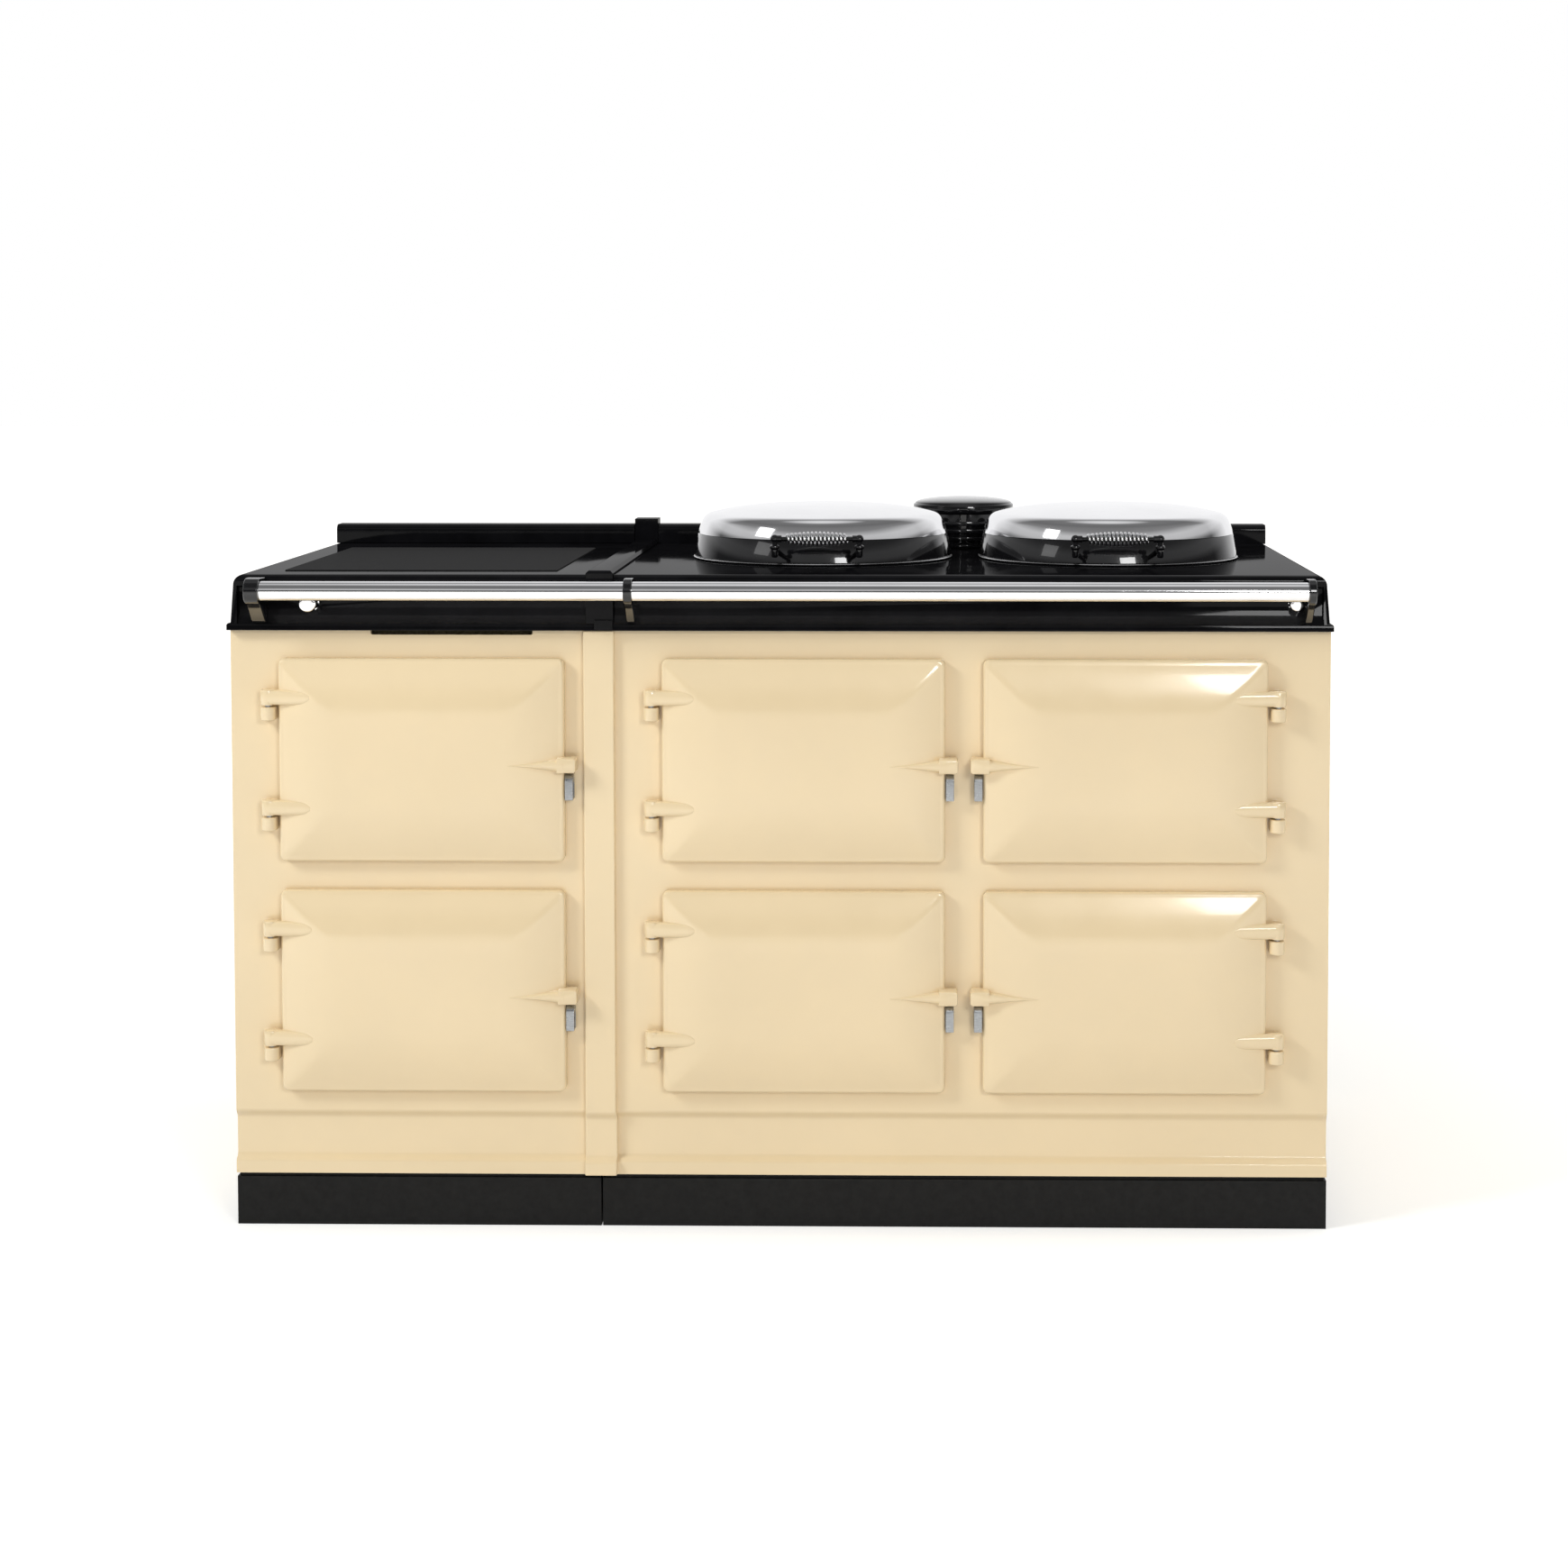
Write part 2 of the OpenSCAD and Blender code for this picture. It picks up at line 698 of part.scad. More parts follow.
// A raised strip over the joint, down the front to the lip, ending in a post at the back
strip_chamfer = 4;
strip_r = 4;
lug_rise = 1.5;
module strip_outline() {
    front = lip_y + 1 - strip_out;
    top = hob_z + strip_h;
    low = body_h + lip_h + seat;
    pocket_top = hob_z - 2 * nose_r - seat;
    polygon(concat(
        [[front, low]],
        arc([front + strip_r, top - strip_r], strip_r, 180, 90, 4),
        [[hob_back_y, top], [hob_back_y, hob_z + seat]],
        arc([lip_y + 1 + nose_r, hob_z - nose_r], nose_r + seat, 90, 180, nose_steps),
        [[lip_y + 1 - seat, pocket_top], [fascia_y - seat, pocket_top],
            [fascia_y - seat, low + fascia_ledge], [lip_y + 2 - seat, low]]));
}
module junction_strip() {
    top = hob_z + strip_h;
    x0 = x_strip - strip_w / 2;
    x1 = x_strip + strip_w / 2;
    color(gloss_black) {
        intersection() {
            along_x(x0, x1) strip_outline();
            along_y(lip_y - strip_out, hob_back_y) polygon([
                [x0, body_h], [x1, body_h], [x1, top - strip_chamfer], [x1 - strip_chamfer, top],
                [x0 + strip_chamfer, top], [x0, top - strip_chamfer]]);
        }
        block(x0 + 0.5, x1 - 0.5, hob_back_y - upstand_d - eps, hob_back_y,
            hob_z + seat, hob_z + upstand_h + post_rise);
        block(x1 - 0.5 - strip_lug_w, x1 - 0.5, lip_y - 2 * strip_out, lip_y - seat,
            body_h + lug_rise, body_h + lug_rise + strip_lug_h);
    }
}

// The raised rail along the back of the hob
module upstand(x0, x1) {
    y0 = hob_back_y - upstand_d;
    r = nose_r;
    z1 = hob_z + upstand_h;
    difference() {
        along_x(x0, x1) polygon(concat(
            [[y0, hob_z]], arc([y0 + r, z1 - r], r, 180, 90, nose_steps),
            [[hob_back_y, z1], [hob_back_y, hob_z]]));
        translate([x_flue, flue_y, hob_z - cut])
            cylinder(h = upstand_h + 2 * cut, r = neck_r + rib_out + 2 * seat);
    }
}
end_top_in = lip_out + end_lean + end_r / 2;
module upstand_left() {
    color(gloss_black) upstand(x_lip_left + end_top_in, x_strip - strip_w / 2);
}
module upstand_right() {
    color(gloss_black) upstand(x_strip + strip_w / 2, x_lip_right - end_top_in);
}

module warming_plate() {
    color(dark_steel) warming_place(0, hob_z + warm_up - warm_t, hob_z + warm_up);
}

// A machined disc of cast iron on a round shoulder
module hotplate(x) {
    color(iron) translate([x, lid_y, hob_z + hotplate_up - hotplate_t]) {
        cylinder(h = hotplate_t - 1, r = hotplate_r);
        translate([0, 0, hotplate_t - 1 - eps]) cylinder(h = 1 + eps, r1 = hotplate_r,
            r2 = hotplate_r - 1);
    }
}
module boiling_plate() hotplate(x_boiling);
module simmering_plate() hotplate(x_simmering);

// ---- Flue ----

module flue_neck() {
    rib_pitch = neck_h / (neck_ribs + 0.5);
    color(gloss_black) translate([x_flue, flue_y, hob_z + seat]) rotate_extrude()
        polygon(concat(
            [[neck_r - neck_t, 0]],
            [for (i = [0:neck_ribs - 1]) each [
                [neck_r + rib_out, i * rib_pitch],
                [neck_r + rib_out, (i + 0.5) * rib_pitch],
                [neck_r, (i + 0.5) * rib_pitch],
                [neck_r, (i + 1) * rib_pitch]]],
            [[neck_r, neck_h - seat], [neck_r - neck_t, neck_h - seat]]));
}

module flue_cap() {
    dome_steps = 8;
    z0 = hob_z + neck_h + seat;
    color(gloss_black) translate([x_flue, flue_y, z0]) rotate_extrude() polygon(concat(
        [[0, 0], [cap_r - 4, 0], [cap_r, 4], [cap_r, cap_rim_h - 3]],
        [for (i = [0:dome_steps]) let (a = 90 * i / dome_steps)
            [(cap_r - 3) * cos(a), cap_rim_h + cap_dome * sin(a)]]));
}

// ---- Rails and knobs ----

mid_bracket_x = x_split + bracket_mid_x - bracket_mid_w / 2;

module rail(x0, x1) {
    color(chrome) rod_x(x0 - socket_d + seat, x1 + socket_d - seat, rail_y, rail_axis_z, rail_r);
}
module rail_left() rail(left_bracket_x + bracket_left_w, mid_bracket_x);
module rail_right() rail(mid_bracket_x + bracket_mid_w, right_bracket_x);

// Side view of a bracket in (Y, Z): a head round the rail and an arm back to the fascia
module bracket_outline() {
    head = rail_r + bracket_t;
    arm_top = hob_z - 2 * nose_r - seat;
    translate([rail_y, rail_axis_z]) circle(head);
    polygon([
        [rail_y, rail_axis_z + head - eps], [lip_y - seat, rail_axis_z + head - 2],
        [lip_y - seat, arm_top], [fascia_y - seat, arm_top],
        [fascia_y - seat, body_h + lip_h + fascia_ledge],
        [lip_y - seat, body_h + lip_h + seat],
        [lip_y - rail_fwd / 3, body_h + lip_h + seat + 6],
        [rail_y, rail_axis_z - head + eps]]);
}
module rail_brackets() {
    color(gloss_black) difference() {
        for (b = [[left_bracket_x, bracket_left_w], [mid_bracket_x, bracket_mid_w],
            [right_bracket_x, bracket_right_w]])
            along_x(b[0], b[0] + b[1]) bracket_outline();
        for (x = [left_bracket_x + bracket_left_w, mid_bracket_x, mid_bracket_x + bracket_mid_w,
            right_bracket_x])
            rod_x(x - socket_d, x + socket_d, rail_y, rail_axis_z, rail_r + seat / 2);
    }
}

// A knob turned about Y on its own spindle, with flutes round its rim
knob_gap = 0.6;
module knob(x, r, flutes, flute_r) {
    translate([x, fascia_y, knob_axis_z]) rotate([90, 0, 0]) difference() {
        rotate_extrude() polygon(concat(
            [[0, -apron_t - 4], [spindle_r, -apron_t - 4], [spindle_r, knob_gap],
                [r - 1, knob_gap], [r, knob_gap + 1], [r, knob_len - r / 2]],
            arc([r / 2, knob_len - r / 2], r / 2, 0, 90, 6), [[0, knob_len]]));
        for (i = [0:flutes - 1]) rotate([0, 0, 360 * i / flutes])
            translate([r + flute_r / 2, 0, knob_gap + 2]) cylinder(h = knob_len, r = flute_r);
    }
}
module left_knob() {
    color(chrome) knob(knob_left_x, knob_left_r, 8, 2);
}
module right_knob() {
    color(chrome) knob(knob_right_x, knob_right_r, 12, 1.5);
}

// ---- Ovens ----

liner_y = inner_y + seat;
module liner(d, depth) {
    w = half_mouth(d);
    h = half_mouth_h;
    translate([d[0], 0, d[1]]) {
        difference() {
            block(-w - liner_t, w + liner_t, liner_y, liner_y + depth, -h - liner_t, h + liner_t);
            block(-w, w, liner_y - cut, liner_y + depth - liner_t, -h, h);
        }
    }
}
runner_w = 6;
module oven(d) {
    color(iron) {
        liner(d, oven_d);
        translate([d[0], 0, d[1] - half_mouth_h]) for (s = [-1, 1]) {
            x = s * (half_mouth(d) - runner_w / 2);
            block(x - runner_w / 2, x + runner_w / 2, liner_y + 10,
                liner_y + oven_d - liner_t + eps, shelf_z - shelf_r - seat - 5,
                shelf_z - shelf_r - seat);
        }
    }
}
module plate_warming_oven() oven(PLATE_WARMING);
module slow_oven() oven(SLOW);
module roasting_oven() oven(ROASTING);
module baking_oven() oven(BAKING);
module simmering_oven() oven(SIMMERING);

// A sheet steel box with the control panel at its back
panel_in = 60;
module control_box() {
    w = half_mouth(CONTROL);
    h = half_mouth_h;
    dial_r = 20;
    color(zinc) {
        liner(CONTROL, control_d);
        translate([CONTROL[0], 0, CONTROL[1]]) {
            y = liner_y + control_d - panel_in;
            block(-w - eps, w + eps, y, y + 2, -h - eps, h + eps);
            for (s = [-1, 1]) rod_y(s * w / 2, y - 14, y + 1, 0, dial_r);
        }
    }
}

// Wire shelves on the runners
shelf_wires = 7;
module oven_shelf(d) {
    w = half_mouth(d) - 2 * shelf_r;
    y0 = liner_y + 20;
    y1 = liner_y + oven_d - liner_t - 10;
    z = d[1] - half_mouth_h + shelf_z;
    wire = shelf_r / 2;
    for (y = [y0, y1]) rod_x(d[0] - w, d[0] + w, y, z, shelf_r);
    for (s = [-1, 1]) rod_y(d[0] + s * (w - 2 * shelf_r), y0, y1, z, shelf_r);
    for (i = [1:shelf_wires])
        rod_y(d[0] - w + 2 * w * i / (shelf_wires + 1), y0, y1, z + shelf_r / 2, wire);
}
module oven_shelves() {
    color(chrome) for (d = OVENS) oven_shelf(d);
}

// A bent tube under each oven floor and a ring under each hotplate
element_in = 60;
module heating_elements() {
    color(iron) {
        for (d = OVENS) {
            z = d[1] - half_mouth_h - liner_t - element_r - seat;
            w = half_mouth(d) - element_in;
            y0 = liner_y + element_in;
            y1 = liner_y + oven_d - element_in - w;
            for (s = [-1, 1]) rod_y(d[0] + s * w, y0, y1, z, element_r);
            translate([d[0], y1, z]) rotate_extrude(angle = 180, start = 0)
                translate([w, 0]) circle(element_r);
        }
        for (x = [x_boiling, x_simmering])
            translate([x, lid_y, hob_z + hotplate_up - hotplate_t - element_r - seat])
                rotate_extrude() translate([hotplate_r * 0.6, 0]) circle(element_r);
    }
}

// Insulating blocks that fill the space round the ovens
module jacket(x0, x1, ovens) {
    y0 = front_y + return_d + seat;
    difference() {
        block(x0 + return_t + seat, x1 - return_t - seat, y0, back_y - back_t - 3 * gland_flange_t,
            bottom_z + seat, body_h - seat);
        for (d = ovens) translate([d[0], 0, d[1]]) {
            w = half_mouth(d) + liner_t + seat;
            h = half_mouth_h + liner_t + seat;
            block(-w, w, front_y, liner_y + oven_d + seat, -h, h);
            block(element_in / 2 - w, w - element_in / 2,
                liner_y + element_in / 2, liner_y + oven_d - element_in / 2, -h - element_h, 0);
        }
    }
}
module insulation() {
    color(wool) {
        jacket(x_left, x_split - half_gap, LEFT_DOORS);
        jacket(x_split + half_gap, x_right, RIGHT_DOORS);
    }
}

// ---- Doors ----

// A rounded rectangle in (X, Z), lying a distance f in front of the door's back
corner_steps = 3;
function door_ring(door_w, inset, f) =
    let (r = door_corner, w = door_w / 2 - inset - r, h = door_h / 2 - inset - r)
    [for (q = [0:3], i = [0:corner_steps])
        let (a = 90 * q + 90 * i / corner_steps,
            sx = (q == 0 || q == 3) ? 1 : -1, sz = (q < 2) ? 1 : -1)
        [sx * w + r * cos(a), -f, sz * h + r * sin(a)]];

// Height of the door's face over its back, at a distance in from the edge
function crown(inset) =
    let (t = min(max((inset - roll_w) / crown_w, 0), 1)) door_edge_t + crown_h * (1 - (1 - t) ^ 2);

crown_steps = 6;
function door_rings(door_w) = concat(
    [door_ring(door_w, 1.5, 0), door_ring(door_w, 0, 2), door_ring(door_w, 0, door_edge_t - 5),
        door_ring(door_w, roll_w / 4, door_edge_t - 1.5)],
    [for (i = [0:crown_steps]) let (s = roll_w + crown_w * i / crown_steps)
        door_ring(door_w, s, crown(s))]);

// A rounded bar section in (Y, Z) with half height h, from f0 to f1 in front of the door's back
bar_sides = 10;
function bar_ring(x, h, f0, f1) =
    [for (i = [0:bar_sides - 1]) let (a = 360 * i / bar_sides)
        [x, -(f0 + f1) / 2 - (f1 - f0) / 2 * sin(a), h * cos(a)]];

// A hinge arm along the door's face, growing out of it with a rounded inner end
arm_front = hinge_fwd + knuckle_r;
arm_steps = 8;
module hinge_arm() {
    tip_front = crown(arm_in) + 0.5;
    h = arm_h / 2 - 0.3;
    skin([for (i = [0:arm_steps])
        let (t = i / arm_steps,
            x = -hinge_out + t * (hinge_out + arm_in),
            end = sqrt(1 - max(t - 0.8, 0) ^ 2 * 20))
        bar_ring(x, h * end, 3, arm_front + (tip_front - arm_front) * t)]);
}

// A spike along the door's face that ends in a block past the door's edge
latch_steps = 6;
module latch_arm() {
    f1 = crown(latch_in) + 0.5;
    h = latch_h / 2;
    skin([for (i = [0:latch_steps])
        let (t = i / latch_steps, grow = t ^ 1.2)
        bar_ring(latch_in * (t - 1), 1 + (h - 2) * grow, door_edge_t / 2, f1 + 0.6 * grow)]);
    bevel = 4;
    translate([0, 0, -h]) linear_extrude(latch_h) polygon([
        [-latch_out / 2, -3], [latch_out, -3], [latch_out, bevel - f1], [latch_out - bevel, -f1],
        [-latch_out / 2, -f1]]);
}

// The casting of one door, hinged on the left, about its own centre
module door_casting(door_w) {
    w = door_w / 2 - mouth_side + plug_gap;
    h = half_mouth_h + plug_gap;
    difference() {
        union() {
            skin(door_rings(door_w));
            for (drop = [hinge_upper, hinge_lower]) translate([-door_w / 2, 0, door_h / 2 - drop]) {
                hinge_arm();
                translate([-hinge_out, -hinge_fwd, -arm_h / 2]) cylinder(h = arm_h, r = knuckle_r);
            }
            translate([door_w / 2, 0, door_h / 2 - latch_drop]) latch_arm();
        }
        for (drop = [hinge_upper, hinge_lower])
            translate([-door_w / 2 - hinge_out, -hinge_fwd, door_h / 2 - drop - arm_h / 2 - cut])
                cylinder(h = arm_h - 5 + cut, r = pin_r + pin_play);
        block(-w, w, -lining_t - seat, cut, -h, h);
        block(-w + 8, w - 8, -door_hollow, cut, -h + 8, h - 8);
    }
}

module place_door(d) {
    translate([d[0], door_back_y, d[1]]) {
        if (d[2] < 0) children();
        else mirror([1, 0, 0]) children();
    }
}
module door(d) {
    color(cream) place_door(d) door_casting(d[3]);
}

// A pan that closes the back of a door and plugs the oven mouth
module door_lining(d) {
    w = half_mouth(d) + plug_gap - seat;
    h = half_mouth_h + plug_gap - seat;
    pw = half_mouth(d) - plug_gap;
    ph = half_mouth_h - plug_gap;
    color(zinc) place_door(d) difference() {
        union() {
            block(-w, w, -lining_t, 0, -h, h);
            block(-pw, pw, -lining_t / 2, plug_in, -ph, ph);
        }
        block(-pw + lining_t, pw - lining_t, -lining_t - cut, plug_in - lining_t,
            -ph + lining_t, ph - lining_t);
    }
}

module plate_warming_door() door(PLATE_WARMING);
module slow_door() door(SLOW);
module roasting_door() door(ROASTING);
module baking_door() door(BAKING);
module simmering_door() door(SIMMERING);
module control_door() door(CONTROL);
module plate_warming_door_lining() door_lining(PLATE_WARMING);
module slow_door_lining() door_lining(SLOW);
module roasting_door_lining() door_lining(ROASTING);
module baking_door_lining() door_lining(BAKING);
module simmering_door_lining() door_lining(SIMMERING);
module control_door_lining() door_lining(CONTROL);

// Every hinge place: calls its children at the hinge axis, at the height of the arm's underside
module at_hinges() {
    for (d = DOORS, drop = [hinge_upper, hinge_lower])
        translate([d[0] + d[2] * (d[3] / 2 + hinge_out), axis_y,
            d[1] + door_h / 2 - drop - arm_h / 2]) children();
}

module hinge_blocks() {
    color(cream) at_hinges() difference() {
        translate([0, 0, -pin_gap - block_h]) union() {
            cylinder(h = block_h, r = knuckle_r);
            block(-knuckle_r, knuckle_r, 0, front_y - axis_y - eps, 0, block_h);
        }
        translate([0, 0, -pin_gap - block_h + 3]) cylinder(h = block_h, r = pin_r + pin_play / 2);
    }
}

module hinge_pins() {
    color(steel) at_hinges()
        translate([0, 0, -pin_gap - block_h + 3 + seat])
            cylinder(h = block_h + pin_gap + arm_h - 8 - 2 * seat, r = pin_r);
}

// A sprung steel hook beside each door's free edge, under the latch arm
catch_t = 3;
catch_fwd = 18;
module door_catches() {
    color(steel) for (d = DOORS)
        translate([d[0] - d[2] * (d[3] / 2 + catch_gap + catch_w / 2), front_y,
            d[1] + door_h / 2 - latch_drop - latch_h / 2 - 1 - catch_h])
            along_x(-catch_w / 2, catch_w / 2) difference() {
                union() {
                    translate([-catch_fwd, 0]) square([catch_fwd, catch_h - catch_w]);
                    intersection() {
                        translate([-catch_fwd / 2, catch_h - catch_w]) circle(catch_fwd / 2);
                        translate([-catch_fwd, 0]) square([catch_fwd, catch_h]);
                    }
                }
                translate([-catch_fwd + catch_t, catch_t])
                    square([catch_fwd - 2 * catch_t, catch_h - catch_w - catch_t]);
            }
}

// ---- Lids ----

band_r = lid_r - band_lean;
shell_r = band_r - shell_lean;
band_z = hob_z + lid_gap + 3;

module at_lid(x, z) {
    translate([x, lid_y, z]) children();
}

// Black enamelled band, with the hinge barrel and its web at the back
module lid_band(x) {
    color(gloss_black) difference() {
        union() {
            at_lid(x, band_z) rotate_extrude() polygon([
                [lid_r - lid_t, 0], [lid_r, 0], [band_r, band_h - 3], [band_r - lid_t, band_h - 3]]);
            difference() {
                block(x - barrel_w / 2 + 8, x + barrel_w / 2 - 8, lid_y + lid_r * 0.9, lid_axis_y,
                    lid_axis_z - 8, lid_axis_z + 8);
                at_lid(x, hob_z) cylinder(h = hob_h, r = band_r);
            }
            rod_x(x - barrel_w / 2, x + barrel_w / 2, lid_axis_y, lid_axis_z, lid_hinge_r);
        }
        rod_x(x - barrel_w / 2 - cut, x + barrel_w / 2 + cut, lid_axis_y, lid_axis_z,
            lid_pin_r + pin_play);
    }
}
module boiling_lid_band() lid_band(x_boiling);
module simmering_lid_band() lid_band(x_simmering);

// Chrome dome: a leaning side, a rounded shoulder and a low crown
shoulder_steps = 6;
dome_steps = 10;
function dome_outline(grow) =
    let (r = shell_r - shoulder_r, z = shell_h)
    concat(
        [[band_r - grow, 0]],
        [for (i = [0:shoulder_steps]) let (a = 10 + 72 * i / shoulder_steps)
            [r + (shoulder_r - grow) * cos(a), z - 2 + (shoulder_r - grow) * sin(a)]],
        [for (i = [1:dome_steps]) let (t = i / dome_steps)
            [(r + (shoulder_r - grow) * cos(82)) * cos(90 * t),
                z - 2 + (shoulder_r - grow) * sin(82) + dome_rise * sin(90 * t)]]);
module lid_dome(x) {
    outer = dome_outline(0);
    inner = dome_outline(lid_t);
    n = len(inner);
    color(chrome) at_lid(x, band_z + band_h - 3 + seat) rotate_extrude()
        polygon(concat(outer, [for (i = [n - 1:-1:0]) inner[i]]));
}
module boiling_lid_dome() lid_dome(x_boiling);
module simmering_lid_dome() lid_dome(x_simmering);

// Aluminium underside: a bright rim that shows, and a dish over the hotplate
dish_t = 2;
module lid_lining(x) {
    z0 = hob_z + lid_gap;
    rim = 3 - seat;
    dish_r = lid_r - 12;
    dish_z = 12;
    color(chrome) at_lid(x, z0) rotate_extrude() polygon([
        [dish_r, 0], [lid_r, 0], [lid_r + 1.5, rim / 2], [lid_r, rim], [dish_r + 2, rim],
        [dish_r - 2, dish_z], [0, dish_z], [0, dish_z - dish_t], [dish_r - 4, dish_z - dish_t]]);
}
module boiling_lid_lining() lid_lining(x_boiling);
module simmering_lid_lining() lid_lining(x_simmering);

// Cast handle: two turned posts, each with an arm back to the band, and a bar between them
post_outline = [[0, -1], [post_stem_r - 1, -1], [post_stem_r - 0.6, -8], [post_collar_r, -9.5],
    [post_collar_r, -13.5], [post_stem_r, -15], [post_stem_r, 2 - post_drop],
    [post_stem_r - 2, -post_drop], [0, -post_drop]];
post_arm_z = -19.4;
post_arm_r = 4;
module lid_bar(x) {
    reach = coil_len / 2;
    post_x = reach + coil_seat + post_ball_r;
    color(gloss_black) difference() {
        union() {
            rod_x(x - post_x + 1, x + post_x - 1, handle_y, handle_axis_z, bar_r);
            for (s = [-1, 1]) {
                translate([x + s * post_x, handle_y, handle_axis_z]) {
                    sphere(post_ball_r);
                    rotate_extrude() polygon(post_outline);
                }
                rod_y(x + s * post_x, handle_y, lid_y - lid_r + band_h,
                    handle_axis_z + post_arm_z, post_arm_r);
                a = x + s * (reach + seat);
                b = x + s * (post_x - 2);
                rod_x(min(a, b), max(a, b), handle_y, handle_axis_z, coil_collar_r);
            }
        }
        at_lid(x, band_z) rotate_extrude() polygon([
            [0, -cut], [lid_r + seat, -cut], [lid_r + seat, 0], [band_r + seat, band_h - 3],
            [band_r + seat, band_h], [shell_r, band_h + shell_h], [0, band_h + shell_h]]);
    }
}
module boiling_lid_bar() lid_bar(x_boiling);
module simmering_lid_bar() lid_bar(x_simmering);

// The coil: a wire wound round the bar, fuller at its middle, with straight ends
rings_per_turn = 8;
wire_sides = 6;
bend_r = wire_r * 1.5;
coil_span = coil_len - 2 * (2 * wire_r + bend_r + seat);
function coil_radius(t) =
    coil_end_r - wire_r + (coil_r - coil_end_r) * sin(180 * t);
function coil_angle(t) = 360 * coil_turns * t;
function coil_centre(t) =
    [coil_span * (t - 0.5), coil_radius(t) * cos(coil_angle(t)), coil_radius(t) * sin(coil_angle(t))];
function radial(t) = [0, cos(coil_angle(t)), sin(coil_angle(t))];
function around(t) = [0, -sin(coil_angle(t)), cos(coil_angle(t))];
// A ring of the wire: its centre, its outward direction and its side direction
function wire_ring(c, n, b) =
    [for (j = [0:wire_sides - 1]) let (a = 360 * j / wire_sides)
        c + wire_r * (n * cos(a) + b * sin(a))];
// The bend from the coil into the straight end, e = -1 at the start and 1 at the end
function bend_ring(e, a) =
    let (t = e < 0 ? 0 : 1, n = radial(t), u = around(t),
        c = coil_centre(t) + e * bend_r * u * sin(a) + e * [bend_r * (1 - cos(a)), 0, 0],
        d = [sin(a), 0, 0] + u * cos(a))
    wire_ring(c, n, cross(n, d) * -1);
function tail_ring(e) =
    let (t = e < 0 ? 0 : 1, n = radial(t), u = around(t),
        c = coil_centre(t) + e * bend_r * u + e * [bend_r + 2 * wire_r, 0, 0])
    wire_ring(c, n, cross(n, [1, 0, 0]) * -1);
coil_rings = concat(
    [tail_ring(-1)],
    [for (a = [90, 60, 30]) bend_ring(-1, a)],
    [for (i = [0:coil_turns * rings_per_turn]) let (t = i / (coil_turns * rings_per_turn),
        n = radial(t), d = [coil_span / (coil_turns * 360 * PI / 180 * coil_radius(t)), 0, 0] + around(t))
        wire_ring(coil_centre(t), n, cross(n, d / norm(d)) * -1)],
    [for (a = [30, 60, 90]) bend_ring(1, a)],
    [tail_ring(1)]);
coil_points = [for (i = [0:coil_turns * rings_per_turn]) coil_centre(i / (coil_turns * rings_per_turn))];
coil_least_gap = min([for (i = [0:len(coil_points) - 1 - rings_per_turn / 2],
    j = [i + rings_per_turn / 2:min(i + 2 * rings_per_turn, len(coil_points) - 1)])
    norm(coil_points[i] - coil_points[j])]) - 2 * wire_r;
echo(coil_least_gap = coil_least_gap);

module lid_coil(x) {
    color(chrome) translate([x, handle_y, handle_axis_z]) skin(coil_rings);
}
module boiling_lid_coil() lid_coil(x_boiling);
module simmering_lid_coil() lid_coil(x_simmering);

lug_x = barrel_w / 2 + seat;
module lid_hinge_brackets() {
    color(gloss_black) for (x = [x_boiling, x_simmering]) difference() {
        union() {
            block(x - lug_x - lug_w, x + lug_x + lug_w, lid_axis_y - lid_hinge_r,
                lid_axis_y + 2 * lid_hinge_r, hob_z, hob_z + hinge_base_t);
            for (s = [-1, 1]) {
                a = x + s * (lug_x + lug_w / 2);
                rod_x(a - lug_w / 2, a + lug_w / 2, lid_axis_y, lid_axis_z, lid_hinge_r);
                block(a - lug_w / 2, a + lug_w / 2, lid_axis_y - lid_hinge_r,
                    lid_axis_y + lid_hinge_r, hob_z + hinge_base_t - eps, lid_axis_z);
            }
        }
        rod_x(x - lug_x - lug_w - cut, x + lug_x + lug_w + cut, lid_axis_y, lid_axis_z,
            lid_pin_r + pin_play / 2);
    }
}

module lid_hinge_pins() {
    color(steel) for (x = [x_boiling, x_simmering])
        rod_x(x - lug_x - lug_w, x + lug_x + lug_w, lid_axis_y, lid_axis_z, lid_pin_r);
}

plinth_left();
plinth_right();
base_frames();
front_plate_left();
front_plate_right();
junction_cover();
side_panels();
back_panels();
cable_gland();
hob_left();
hob_right();
junction_strip();
upstand_left();
upstand_right();
warming_plate();
boiling_plate();
simmering_plate();
flue_neck();
flue_cap();
rail_left();
rail_right();
rail_brackets();
plate_warming_oven();
slow_oven();
roasting_oven();
baking_oven();
simmering_oven();
control_box();
oven_shelves();
heating_elements();
insulation();
hinge_blocks();
hinge_pins();
door_catches();
lid_hinge_brackets();
lid_hinge_pins();
plate_warming_door();
slow_door();
roasting_door();
baking_door();
simmering_door();
control_door();
plate_warming_door_lining();
slow_door_lining();
roasting_door_lining();
baking_door_lining();
simmering_door_lining();
control_door_lining();
boiling_lid_dome();
boiling_lid_band();
boiling_lid_lining();
boiling_lid_bar();
boiling_lid_coil();
simmering_lid_dome();
simmering_lid_band();
simmering_lid_lining();
simmering_lid_bar();
simmering_lid_coil();
left_knob();
right_knob();
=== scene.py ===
"""Looks of the cast iron range cooker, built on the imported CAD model."""
import json
import math

